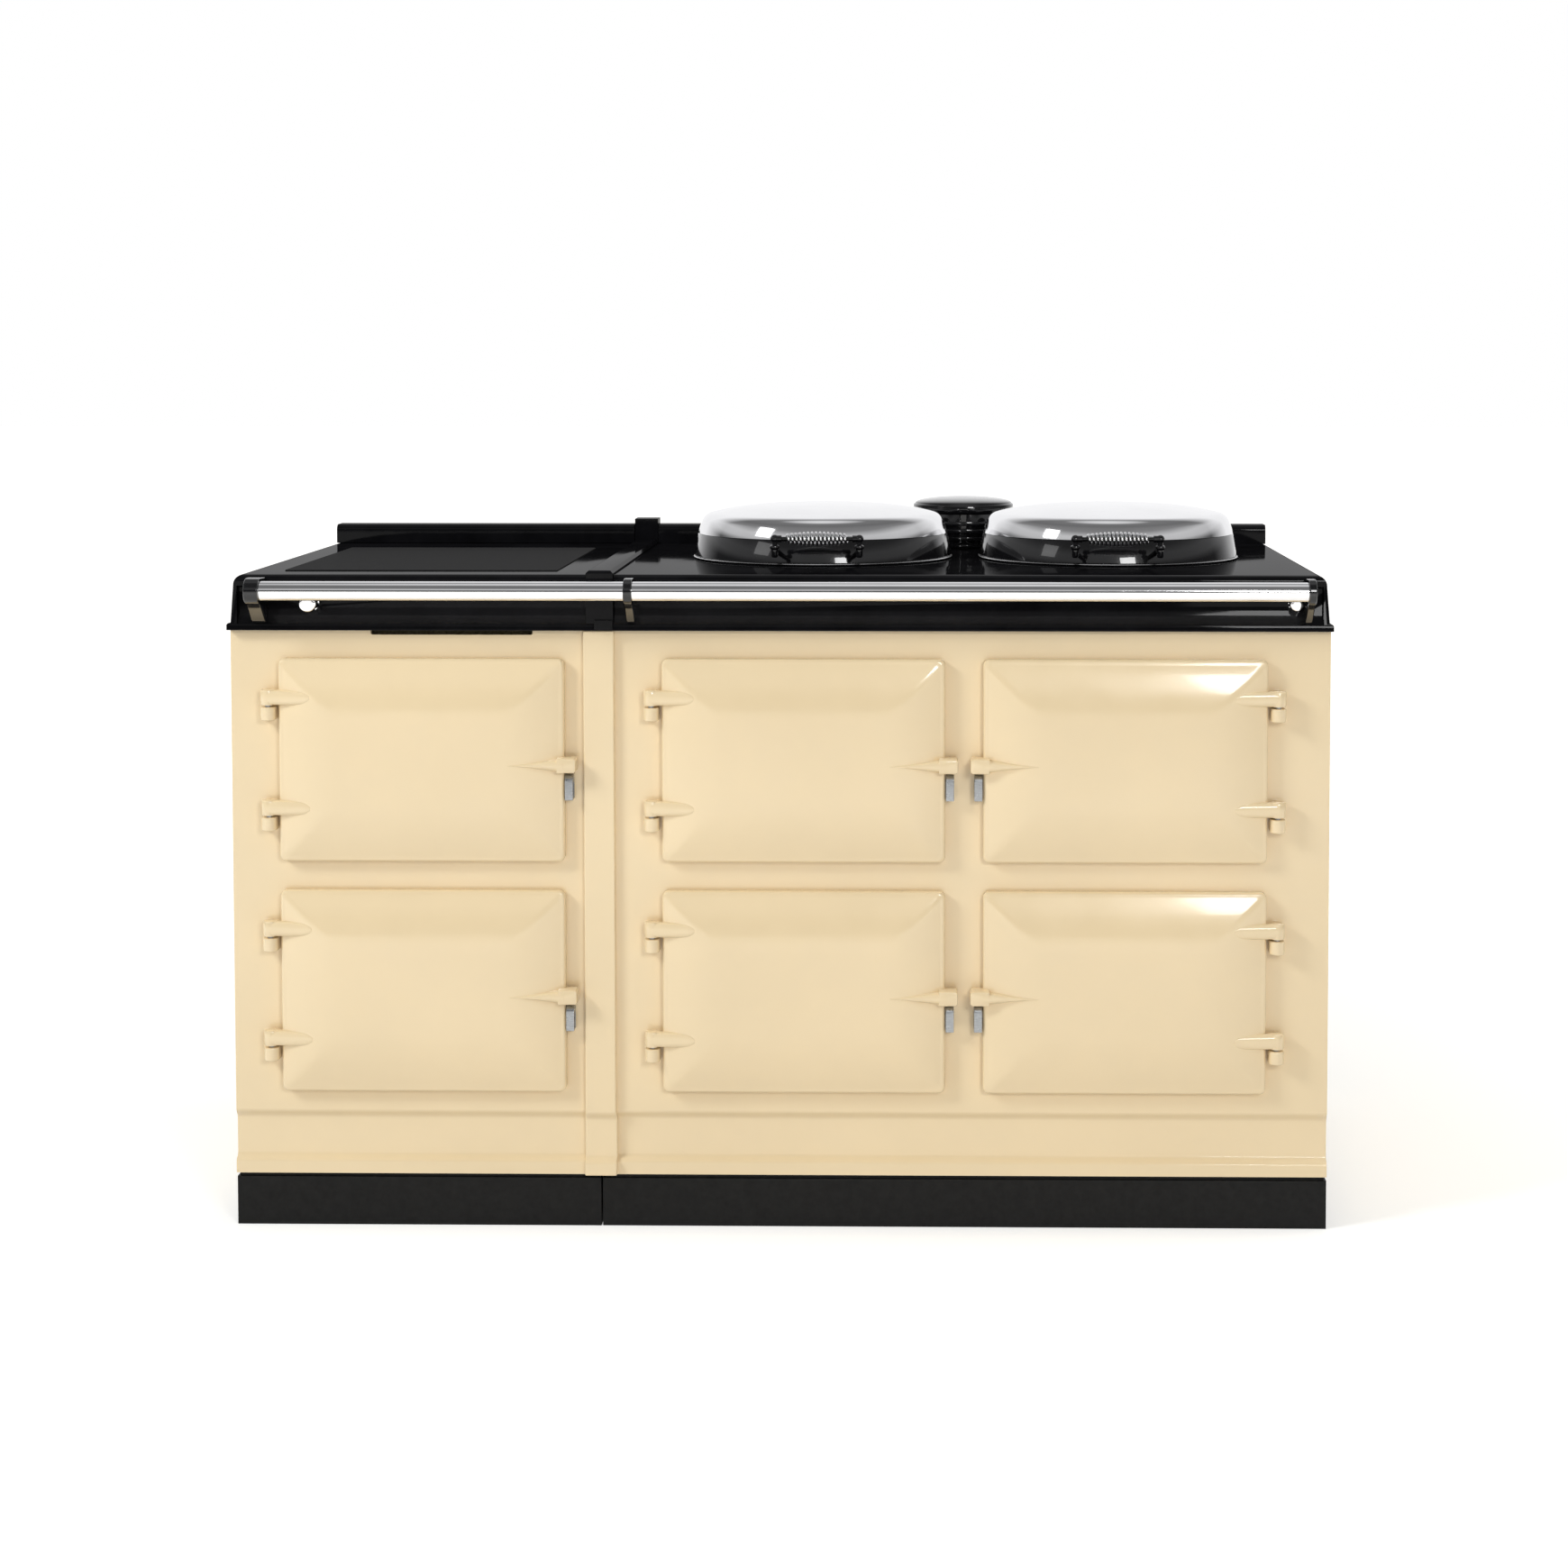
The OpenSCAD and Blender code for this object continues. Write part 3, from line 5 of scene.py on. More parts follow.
import bmesh
import bpy
from bpy.props import FloatProperty, FloatVectorProperty, PointerProperty
from bpy.types import Operator, Panel, PropertyGroup
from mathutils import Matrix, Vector


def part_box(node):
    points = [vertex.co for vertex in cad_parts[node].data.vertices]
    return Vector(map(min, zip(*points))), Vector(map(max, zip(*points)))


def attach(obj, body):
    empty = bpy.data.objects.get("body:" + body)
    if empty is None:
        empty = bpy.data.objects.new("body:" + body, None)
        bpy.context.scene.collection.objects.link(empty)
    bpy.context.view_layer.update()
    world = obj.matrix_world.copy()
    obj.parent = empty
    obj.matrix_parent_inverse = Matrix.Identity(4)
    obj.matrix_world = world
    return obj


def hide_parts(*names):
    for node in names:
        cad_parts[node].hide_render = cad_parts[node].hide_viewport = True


bl_info = {
    "name": "Cast iron range cooker",
    "version": (1, 0, 0),
    "blender": (4, 5, 0),
    "location": "View3D > Sidebar > Cooker",
    "description": "Detailed pieces, enamels and metals for a four-door range cooker",
    "category": "Object",
}

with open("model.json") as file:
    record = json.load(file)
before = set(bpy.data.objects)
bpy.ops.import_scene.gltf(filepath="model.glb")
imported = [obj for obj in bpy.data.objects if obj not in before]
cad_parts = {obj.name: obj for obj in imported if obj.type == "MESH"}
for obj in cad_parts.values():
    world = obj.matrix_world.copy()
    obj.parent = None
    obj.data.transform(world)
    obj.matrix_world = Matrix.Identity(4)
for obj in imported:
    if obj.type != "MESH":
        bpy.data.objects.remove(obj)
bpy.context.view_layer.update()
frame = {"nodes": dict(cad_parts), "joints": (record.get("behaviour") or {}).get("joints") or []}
MM = 0.001
CABINET = "cabinet"


def span(node):
    """A node's box in millimetres: x0, x1, y0, y1, z0, z1."""
    lo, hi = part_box(node)
    return [v / MM for v in (lo.x, hi.x, lo.y, hi.y, lo.z, hi.z)]


# ---- Places and shared sizes, in millimetres ----

WALLS, HOB = span("back_panels"), span("hob_right")
X_LEFT, X_RIGHT, BOTTOM_Z, BODY_H = WALLS[0], WALLS[1], WALLS[4], WALLS[5]
HALF_GAP = 1.0  # from the middle of the joint between the two units to either of them
X_SPLIT = HOB[0] - HALF_GAP
X_LIP_LEFT, X_LIP_RIGHT = span("hob_left")[0], HOB[1]
LIP_Y, HOB_BACK_Y, HOB_Z = HOB[2], HOB[3], HOB[5]
LIP_H, NOSE_R = 9.0, 9.0
FRONT_Y, FASCIA_Y = LIP_Y + 13.0, LIP_Y + 9.0
INNER_Y = FRONT_Y + 8.0
LEDGE_Z, LEDGE_IN, LEDGE_DROP = BOTTOM_Z + 88.0, 7.0, 14.0
SKIRT_INNER_Y = INNER_Y + LEDGE_IN
COVER_W = 41.6
SEAT = 0.3  # the gap between pieces that lie on each other

DOOR_H, DOOR_BACK_Y = 274.0, FRONT_Y - 1.5
MOUTH_IN_X, MOUTH_IN_Z = 25.0, 22.0  # from a door's edge in to the mouth of its oven
PIN_OUT, PIN_FORWARD = 14.0, 11.5  # a hinge pin, from its door's edge and back
ARM_H = 10.5  # half the height of a hinge arm's knuckle
HINGE_DROPS, LATCH_DROP = (52.0, 201.0), 142.0  # the arms, below their door's top
DOORS = {
    "plate_warming": -1, "slow": -1, "control": -1,
    "baking": -1, "roasting": 1, "simmering": 1,
}

LIDS = ("boiling", "simmering")
LID_R, BAND_R, SHELL_R, BAND_H, BAND_Z = 187.0, 181.5, 174.5, 35.0, HOB_Z + 3.6
LID_AXIS_OUT, LID_AXIS_Z = 20.0, HOB_Z + 24.0
HANDLE_OUT, HANDLE_Z = 27.0, HOB_Z + 40.0
FLUE_BORE_R = 52.0


def door_place(key):
    """Centre X, centre Z, hinge side and width of a door."""
    joint = next(j for j in frame["joints"] if j["name"] == key + "_door_hinge")
    lining = span(key + "_door_lining")
    centre = (lining[0] + lining[1]) / 2
    hinge = joint["pos_m"][0] / MM
    return centre, joint["pos_m"][2] / MM, DOORS[key], 2 * (abs(hinge - centre) - PIN_OUT)


def centre_of(node):
    """The middle of a node's box along X and Y."""
    x0, x1, y0, y1 = span(node)[:4]
    return (x0 + x1) / 2, (y0 + y1) / 2


# ---- Shapes: each is (points, faces) in millimetres ----

def loft(rings):
    """A surface through rings of equal counts, capped at both ends."""
    n, last = len(rings[0]), len(rings) - 1
    points = [p for ring in rings for p in ring]
    faces = []
    for i in range(last):
        for j in range(n):
            k = (j + 1) % n
            faces.append((i * n + j, i * n + k, (i + 1) * n + k, (i + 1) * n + j))
    return points, faces + [tuple(range(n)), tuple(range(last * n, (last + 1) * n))]


def lathe(profile, steps, place, closed=False):
    """A profile of (radius, height) turned round; place maps (x, y, height) to a point."""
    points, rings = [], []
    for r, h in profile:
        if r < 1e-6:
            rings.append([len(points)])
            points.append(place(0.0, 0.0, h))
        else:
            rings.append(list(range(len(points), len(points) + steps)))
            for i in range(steps):
                a = math.tau * i / steps
                points.append(place(r * math.cos(a), r * math.sin(a), h))
    faces = []
    pairs = list(zip(rings, rings[1:]))
    if closed:
        pairs.append((rings[-1], rings[0]))
    for a, b in pairs:
        for i in range(steps):
            k = (i + 1) % steps
            if len(a) == 1 and len(b) == 1:
                continue
            if len(a) == 1:
                faces.append((a[0], b[i], b[k]))
            elif len(b) == 1:
                faces.append((a[i], b[0], a[k]))
            else:
                faces.append((a[i], a[k], b[k], b[i]))
    return points, faces


# Where lathe puts its profile: round a Z axis, along X, or along Y towards the front.

def upright(cx, cy, z0=0.0):
    return lambda x, y, h: (cx + x, cy + y, z0 + h)


def lengthwise(cy, cz, x0=0.0):
    return lambda x, y, h: (x0 + h, cy + x, cz + y)


def forward(cx, cz, y0):
    return lambda x, y, h: (cx + x, y0 - h, cz + y)


def rod(r, h0, h1):
    """The profile of a plain cylinder, for lathe."""
    return [(0, h0), (r, h0), (r, h1), (0, h1)]


def disc(x, y, r, z0, z1, n=96):
    return lathe(rod(r, z0, z1), n, upright(x, y))


def along_x(outline, x0, x1):
    """A (Y, Z) outline extruded along X."""
    return loft([[(x, y, z) for y, z in outline] for x in (x0, x1)])


def along_y(outline, y0, y1):
    """An (X, Z) outline extruded along Y."""
    return loft([[(x, y, z) for x, z in outline] for y in (y0, y1)])


def block(x0, x1, y0, y1, z0, z1):
    return along_x([(y0, z0), (y1, z0), (y1, z1), (y0, z1)], x0, x1)


def arc(cx, cy, r, a0, a1, n):
    return [(cx + r * math.cos(math.radians(a0 + (a1 - a0) * i / n)),
             cy + r * math.sin(math.radians(a0 + (a1 - a0) * i / n))) for i in range(n + 1)]


def ease(t):
    return (1 - math.cos(math.pi * t)) / 2


def rounded(a, b, r, n):
    """A rounded rectangle of half sizes a and b."""
    out = []
    for q in range(4):
        sx = 1 if q in (0, 3) else -1
        sz = 1 if q < 2 else -1
        out += arc(sx * (a - r), sz * (b - r), r, 90 * q, 90 * q + 90, n)
    return out


def moved(shape, change):
    return [change(p) for p in shape[0]], shape[1]


def joined(*shapes):
    points, faces = [], []
    for pts, fcs in shapes:
        o = len(points)
        points += pts
        faces += [tuple(i + o for i in f) for f in fcs]
    return points, faces


def linked(name, data):
    """A new object, in the scene."""
    o = bpy.data.objects.new(name, data)
    bpy.context.scene.collection.objects.link(o)
    return o


def raw_mesh(shape):
    me = bpy.data.meshes.new("shape")
    me.from_pydata([tuple(c * MM for c in p) for p in shape[0]], [], shape[1])
    bm = bmesh.new()
    bm.from_mesh(me)
    bmesh.ops.remove_doubles(bm, verts=bm.verts, dist=1e-6)
    bmesh.ops.recalc_face_normals(bm, faces=bm.faces)
    bm.to_mesh(me)
    bm.free()
    return me


def carved(base, tools, operation="DIFFERENCE"):
    """The exact boolean of a shape with each tool in turn."""
    holder = linked("carved", raw_mesh(base))
    spent = [holder]
    for tool in tools:
        spent.append(linked("tool", raw_mesh(tool)))
        m = holder.modifiers.new("cut", "BOOLEAN")
        m.solver, m.operation, m.object = "EXACT", operation, spent[-1]
    bpy.context.view_layer.update()
    me = bpy.data.meshes.new_from_object(
        holder.evaluated_get(bpy.context.evaluated_depsgraph_get()))
    out = ([tuple(c / MM for c in v.co) for v in me.vertices],
           [tuple(p.vertices) for p in me.polygons])
    for o in spent:
        old = o.data
        bpy.data.objects.remove(o)
        bpy.data.meshes.remove(old)
    bpy.data.meshes.remove(me)
    return out


def piece(name, shape, slot, body, replaces, edge=0.0, angle=40, sharp=34, material=None):
    """A finished piece: smooth with sharp edges by angle, or with small rounded edges."""
    me = raw_mesh(shape)
    me.name = name
    for p in me.polygons:
        p.use_smooth = True
    o = linked(name, me)
    if edge:
        soften(o, edge, angle)
    else:
        me.set_sharp_from_angle(angle=math.radians(sharp))
    me.materials.append(MATERIALS[material or slot])
    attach(o, body)
    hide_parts(*replaces)


def soften(o, width, angle):
    """Rounds the edges sharper than an angle when the piece is rendered or exported."""
    m = o.modifiers.new("Edges", "BEVEL")
    m.width, m.segments = width * MM, 3
    m.limit_method, m.angle_limit = "ANGLE", math.radians(angle)
    m.harden_normals, m.use_clamp_overlap = True, True


def dress(node, slot, edge=0.0, material=None):
    """Gives a carried-over CAD node its material and, where asked, rounded edges."""
    o = frame["nodes"][node]
    materials, m = o.data.materials, MATERIALS[material or slot]
    if not materials:
        materials.append(m)
    for i in range(len(materials)):
        materials[i] = m
    if edge:
        o.modifiers.new("Join", "WELD").merge_threshold = 1e-5
        soften(o, edge, 50)


# ---- Materials ----

MATERIALS = {}


def linear(rgb):
    """A colour as it is written for a screen, in Blender's linear values."""
    return tuple(c / 12.92 if c <= 0.04045 else ((c + 0.055) / 1.055) ** 2.4 for c in rgb)


def shade(rgb, k):
    return tuple(max(0.0, min(1.0, c * k)) for c in rgb)


class Nodes:
    """Short names for making the nodes of one tree."""

    def __init__(self, tree):
        self.tree = tree

    def node(self, kind, inputs, **settings):
        """A node with its settings, and with a value or a link for each input named."""
        n = self.tree.nodes.new("ShaderNode" + kind)
        for key, value in settings.items():
            setattr(n, key, value)
        for key, value in inputs.items():
            if isinstance(value, bpy.types.NodeSocket):
                self.tree.links.new(value, n.inputs[key])
            else:
                n.inputs[key].default_value = value
        return n

    def mapped(self, value, low, high, to_low=0.0, to_high=1.0):
        """The value, with the range from low to high mapped to another one."""
        return self.node("MapRange", {"Value": value, "From Min": low, "From Max": high,
                                      "To Min": to_low, "To Max": to_high}).outputs["Result"]

    def ramp(self, value, stops):
        """A colour ramp over the value, from stops of (place, colour)."""
        r = self.node("ValToRGB", {"Fac": value})
        e = r.color_ramp.elements
        for i, (place, colour) in enumerate(stops):
            stop = e[i] if i < 2 else e.new(place)
            stop.position, stop.color = place, (*colour, 1)
        return r.outputs["Color"]


class Paint(Nodes):
    """A material, kept by its name: its main shader, and patterns for the shader's inputs."""

    def __init__(self, name, roughness, metallic=0.0, coat=0.0, coat_roughness=0.05,
                 specular=0.5):
        material = MATERIALS[name] = bpy.data.materials.new(name)
        material.use_nodes = True
        super().__init__(material.node_tree)
        self.shader = self.tree.nodes["Principled BSDF"]
        for key, value in (("Roughness", roughness), ("Metallic", metallic),
                           ("Coat Weight", coat), ("Coat Roughness", coat_roughness),
                           ("Specular IOR Level", specular)):
            self.shader.inputs[key].default_value = value
        self.place = self.node("TexCoord", {}).outputs["Object"]
        self.normal = None

    def stretched(self, scale, location=(0, 0, 0)):
        return self.node("Mapping", {"Vector": self.place, "Location": location,
                                     "Scale": scale}).outputs["Vector"]

    def noise(self, scale, detail=3.0, rough=0.5, vector=None):
        return self.node("TexNoise", {"Vector": vector or self.place, "Scale": scale,
                                      "Detail": detail, "Roughness": rough}).outputs["Fac"]

    def colour(self, pattern, low, high, at=(0.35, 0.65)):
        self.tree.links.new(self.ramp(pattern, zip(at, (low, high))),
                            self.shader.inputs["Base Color"])

    def roughness(self, pattern, low, high):
        self.tree.links.new(self.mapped(pattern, 0.3, 0.7, low, high),
                            self.shader.inputs["Roughness"])

    def bump(self, pattern, depth):
        """Adds waves, of a depth in millimetres, to those that the paint has."""
        inputs = {"Height": pattern, "Distance": depth * MM}
        if self.normal is not None:
            inputs["Normal"] = self.normal
        self.normal = self.node("Bump", inputs).outputs["Normal"]
        for key in ("Normal", "Coat Normal"):
            self.tree.links.new(self.normal, self.shader.inputs[key])


def make_materials(colours, surface):
    peel = surface.orange_peel / MM
    cream = tuple(colours.cream)
    p = Paint("cream_enamel", 0.2, coat=0.5, coat_roughness=0.06)
    p.colour(p.noise(3.5, 4, 0.6), shade(cream, 1 - surface.mottle),
             shade(cream, 1 + surface.mottle / 2))
    p.roughness(p.noise(28, 3), 0.16, 0.27)
    p.bump(p.noise(34, 2), peel * 4)
    p.bump(p.noise(130, 2), peel)

    black = tuple(colours.black)
    glossy = Paint("black_enamel", 0.14, coat=0.9, coat_roughness=0.03, specular=0.15)
    glossy.roughness(glossy.noise(40, 4), 0.1, 0.22)
    for p in (glossy, Paint("hob_enamel", 0.3, coat=0.22, specular=0.0)):
        p.colour(p.noise(12, 5, 0.65), shade(black, 0.7), shade(black, 1.4))
        p.bump(p.noise(45, 2), peel * 3)
        p.bump(p.noise(420, 2), peel * 0.5)

    matte = tuple(colours.plinth)
    p = Paint("matte_black", 0.55, specular=0.2)
    p.colour(p.noise(60, 5, 0.7), shade(matte, 0.8), shade(matte, 1.25))
    p.roughness(p.noise(180, 3), 0.45, 0.62)
    p.bump(p.noise(900, 3, 0.6), 0.05)

    chrome = tuple(colours.chrome)
    p = Paint("chrome", 0.07, metallic=1.0)
    p.colour(p.noise(14, 3), shade(chrome, 0.95), chrome)
    p.roughness(p.noise(90, 5, 0.7), 0.05, 0.11)
    p.bump(p.noise(26, 1), 0.04)

    p = Paint("satin_chrome", 0.26, metallic=1.0)
    p.colour(p.noise(30, 4), (0.5, 0.5, 0.505), (0.58, 0.58, 0.585))
    p.roughness(p.noise(90, 5, 0.7), 0.22, 0.32)

    p = Paint("spring_steel", 0.3, metallic=1.0)
    fine = p.noise(60, 4, 0.6, p.stretched((1, 1, 30)))
    p.colour(fine, (0.26, 0.27, 0.28), (0.42, 0.43, 0.44))
    p.roughness(p.noise(200, 4), 0.24, 0.38)
    p.bump(fine, 0.02)

    p = Paint("satin_plate", 0.4, metallic=0.08, specular=0.0)
    lines = p.noise(4, 5, 0.6, p.stretched((3, 260, 1)))
    p.colour(lines, (0.018, 0.018, 0.019), (0.03, 0.03, 0.031))
    p.roughness(lines, 0.3, 0.44)
    p.bump(lines, 0.02)

    p = Paint("cast_iron", 0.5, metallic=0.55)
    grain = p.noise(320, 5, 0.65)
    p.colour(grain, (0.03, 0.03, 0.03), (0.075, 0.073, 0.07))
    p.roughness(grain, 0.42, 0.66)
    p.bump(grain, 0.12)

    for lid in LIDS:
        x, y = centre_of(lid + "_plate")
        p = Paint(lid + "_machined", 0.34, metallic=0.85)
        turned = p.node("TexWave", {
            "Vector": p.stretched((1, 1, 1), (-x * MM, -y * MM, 0)),
            "Scale": 120, "Distortion": 0.6}, wave_type="RINGS", rings_direction="Z")
        p.colour(p.noise(26, 5, 0.6), (0.07, 0.068, 0.066), (0.13, 0.125, 0.12))
        p.roughness(p.noise(60, 4), 0.28, 0.42)
        p.bump(turned.outputs["Fac"], 0.05)

    p = Paint("zinc_plate", 0.38, metallic=0.9)
    crystals = p.node("TexVoronoi", {"Vector": p.place, "Scale": 120}).outputs["Color"]
    p.colour(crystals, (0.36, 0.365, 0.37), (0.43, 0.435, 0.44), (0.1, 0.9))
    p.roughness(p.noise(35, 3), 0.32, 0.48)
    p.bump(p.noise(70, 2), 0.05)

    p = Paint("aluminium", 0.32, metallic=1.0)
    brush = p.noise(5, 4, 0.6, p.stretched((2, 2, 200)))
    p.colour(brush, (0.5, 0.5, 0.51), (0.66, 0.66, 0.67))
    p.roughness(brush, 0.26, 0.4)
    p.bump(brush, 0.02)

    p = Paint("mineral_wool", 0.95)
    tufts = p.noise(260, 6, 0.75)
    p.colour(tufts, (0.35, 0.3, 0.18), (0.62, 0.56, 0.4))
    p.bump(tufts, 1.2)


# ---- Front plates ----

def face_points(out):
    """The (Y, Z) line down a front face, the given distance in front of the plates'."""
    y, steps = FRONT_Y - out, 20
    face = [(y, BODY_H)]
    for i in range(steps + 1):
        t = i / steps
        face.append((y + LEDGE_IN * ease(t), LEDGE_Z - LEDGE_DROP * t))
    for i in range(steps + 1):
        t = i / steps
        face.append((y + LEDGE_IN - 9 * ease(t), BOTTOM_Z + 21 + 10.5 * (1 - t) - 5.25))
    return face + [(y - 2, BOTTOM_Z)]


def front_plate(x0, x1, keys, outer):
    """A front plate with its doors' openings; outer is the side of its end wall."""
    outline = face_points(0) + [(SKIRT_INNER_Y, BOTTOM_Z), (SKIRT_INNER_Y, LEDGE_Z),
                                (INNER_Y, LEDGE_Z + LEDGE_IN), (INNER_Y, BODY_H)]
    tools = []
    for key in keys:
        cx, cz, _, width = door_place(key)
        a, b = width / 2 - MOUTH_IN_X, DOOR_H / 2 - MOUTH_IN_Z
        tools.append(block(cx - a, cx + a, FRONT_Y - 20, SKIRT_INNER_Y + 20, cz - b, cz + b))
    if outer < 0:
        tools.append(cooling_slot((X_LEFT + X_SPLIT) / 2 + 50, 109, 7, 2.5))
    wall = 6
    end = (x0, x0 + wall) if outer < 0 else (x1 - wall, x1)
    whole = carved(along_x(outline, x0, x1),
                   [block(*end, INNER_Y - 0.5, FRONT_Y + 22, BOTTOM_Z, BODY_H)], "UNION")
    return carved(whole, tools)


def cooling_slot(cx, half, depth, r):
    """The cut for the slot in a front plate's top edge, with rounded lower corners."""
    low = BODY_H - depth
    mouth = [(cx - half, BODY_H + 20)] + arc(cx - half + r, low + r, r, 180, 270, 8)
    mouth += arc(cx + half - r, low + r, r, 270, 360, 8) + [(cx + half, BODY_H + 20)]
    return along_y(mouth, FRONT_Y - 20, INNER_Y + 20)


def make_fronts():
    for name, plate in (
            ("left", (X_LEFT, X_SPLIT - HALF_GAP, ("plate_warming", "slow"), -1)),
            ("right", (X_SPLIT + HALF_GAP, X_RIGHT,
                       ("control", "baking", "roasting", "simmering"), 1))):
        piece("front_" + name, front_plate(*plate), "cream_enamel", CABINET,
              ["front_plate_" + name], edge=1.2)
    w, lower = COVER_W / 2, COVER_W / 2 + 1
    outline = face_points(9) + face_points(SEAT)[::-1]
    mask = [(-lower, BOTTOM_Z), (lower, BOTTOM_Z), (lower, LEDGE_Z - LEDGE_DROP), (w, LEDGE_Z),
            (w, BODY_H), (-w, BODY_H), (-w, LEDGE_Z), (-lower, LEDGE_Z - LEDGE_DROP)]
    shape = carved(along_x(outline, X_SPLIT - lower - 1, X_SPLIT + lower + 1),
                   [along_y([(X_SPLIT + x, z) for x, z in mask], FRONT_Y - 60, FRONT_Y + 60)],
                   "INTERSECT")
    piece("cover_strip", shape, "cream_enamel", CABINET, ["junction_cover"], edge=2.2)


# ---- Doors: X from the centre or edge, Y from the back, before they go to their places ----

EDGE_H, ROLL, CORNER_R = 9.0, 5.0, 8.0
CROWN_RUN, CROWN_RISE = 75.0, 14.0


def crown(inset):
    """Height of the face over the door's back, at a distance in from its edge."""
    t = min(max((inset - ROLL) / CROWN_RUN, 0), 1)
    return EDGE_H + ROLL + CROWN_RISE * (1 - (1 - t) ** 2)


def door_shell(width):
    """Recess, back rim, rolled edge and crowned panel of a door, as one surface."""
    a, b = width / 2, DOOR_H / 2
    ra, rb = a - MOUTH_IN_X + 6, b - MOUTH_IN_Z + 6
    steps = [(ra - 8, rb - 8, 12, 1), (ra - 8, rb - 8, 1.8, 1), (ra, rb, 1.8, 1), (ra, rb, 0, 1),
             (a - 1.5, b - 1.5, 0, CORNER_R), (a - 0.4, b - 0.4, 0.6, CORNER_R),
             (a, b, 2, CORNER_R)]
    for i in range(9):
        t = math.radians(90 * i / 8)
        s = ROLL * (1 - math.cos(t))
        steps.append((a - s, b - s, EDGE_H + ROLL * math.sin(t), CORNER_R))
    for s in [ROLL + CROWN_RUN * i / 24 for i in range(1, 25)] + [ROLL + CROWN_RUN + 6]:
        steps.append((a - s, b - s, crown(s), CORNER_R))
    return loft([[(x, -height, z) for x, z in rounded(p, q, r, 8)] for p, q, height, r in steps])


def section(x, h, low, high, power=3.2):
    """A bar's section at x, of half height h, with a flat face and rounded shoulders."""
    out, n = [], 32
    for i in range(n):
        t = math.tau * i / n
        c, s = math.cos(t), math.sin(t)
        u = math.copysign(abs(s) ** (2 / power), s)
        v = math.copysign(abs(c) ** (2 / power), c)
        out.append((x, -(low + high) / 2 - (high - low) / 2 * u, h * v))
    return out


def hinge_arm():
    """The arm from the pin onto the panel, with its knuckle."""
    reach, root = 44, 21.5
    tip = crown(reach) + 0.5
    rings = []
    for i in range(29):
        t = i / 28
        end = math.sqrt(1 - max(t - 0.8, 0) ** 2 * 20)
        rings.append(section(-PIN_OUT + (PIN_OUT + reach) * t, 10.2 * end, 3,
                             root + (tip - root) * t))
    bore = 4.05
    knuckle = lathe([(0, ARM_H), (8, ARM_H), (9.4, 10.1), (10, 9), (10, -9), (9.4, -10.1),
                     (8, -ARM_H), (bore, -ARM_H), (bore, 5.5), (0, 5.5)],
                    40, upright(-PIN_OUT, -PIN_FORWARD))
    return joined(loft(rings), knuckle)


def latch_arm():
    """The arm that widens to the edge, and its head, which reaches over the catch."""
    reach = 74
    high = crown(reach) + 0.5
    rings = []
    for i in range(25):
        t = i / 24
        grow = t ** 1.2
        rings.append(section(reach * (t - 1), 1 + 8 * grow, 7, high + 0.6 * grow, 2.6))
    head = [(-8.5, 10), (-4, 10), (15, 9.8), (17, 7.5), (17, -7.5), (15, -9.8), (-4, -10),
            (-8.5, -10)]
    end = [[(x * kx, -height, z * kz) for x, z in head] for height, kx, kz in (
        (3, 1, 1), (high - 3, 1, 1), (high - 0.8, 0.97, 0.93), (high, 0.86, 0.82))]
    return joined(loft(rings), loft(end))


def door_shape(key):
    cx, cz, side, width = door_place(key)
    parts = [door_shell(width)]
    for drop in HINGE_DROPS:
        parts.append(moved(hinge_arm(), lambda p, d=drop: (
            p[0] - width / 2, p[1], p[2] + DOOR_H / 2 - d)))
    parts.append(moved(latch_arm(), lambda p: (
        p[0] + width / 2, p[1], p[2] + DOOR_H / 2 - LATCH_DROP)))
    return moved(joined(*parts), lambda p: (cx - side * p[0], DOOR_BACK_Y + p[1], cz + p[2]))


def make_doors():
    for key in DOORS:
        piece(key + "_door_casting", door_shape(key), "cream_enamel", key + "_door_body",
              [key + "_door"], sharp=38)
        dress(key + "_door_lining", "aluminium", 0.6)


def make_hinges():
    blocks, catches = [], []
    for key in DOORS:
        cx, cz, side, width = door_place(key)
        top = cz + DOOR_H / 2
        x, y, r = cx + side * (width / 2 + PIN_OUT), DOOR_BACK_Y - PIN_FORWARD, 10
        outline = arc(x, y, r, 180, 360, 20) + [(x + r, FRONT_Y), (x - r, FRONT_Y)]
        for drop in HINGE_DROPS:
            z = top - drop - ARM_H - 2.4
            blocks.append(loft([[(a, b, z - 18) for a, b in outline],
                                [(a, b, z) for a, b in outline]]))
        half, depth, r = 5.5, 18, 9
        x, z = cx - side * (width / 2 + 1 + half), top - LATCH_DROP - 10 - 1 - 37
        face = [(FRONT_Y, z), (FRONT_Y - depth, z)] + arc(FRONT_Y - r, z + 26, r, 180, 0, 16)
        hollow = [(FRONT_Y - 15, z + 3), (FRONT_Y - 3, z + 3), (FRONT_Y - 3, z + 23),
                  (FRONT_Y - 15, z + 23)]
        catches.append(carved(along_x(face, x - half, x + half),
                              [along_x(hollow, x - 20, x + 20)]))
    piece("hinge_block_set", joined(*blocks), "cream_enamel", CABINET, ["hinge_blocks"], edge=1.5)
    piece("catch_set", joined(*catches), "spring_steel", CABINET, ["door_catches"], edge=0.8)
    dress("hinge_pins", "spring_steel")


# ---- Hob ----

def hob_piece(name, shape, node, edge):
    piece(name, shape, "black_enamel", CABINET, [node], edge=edge, material="hob_enamel")


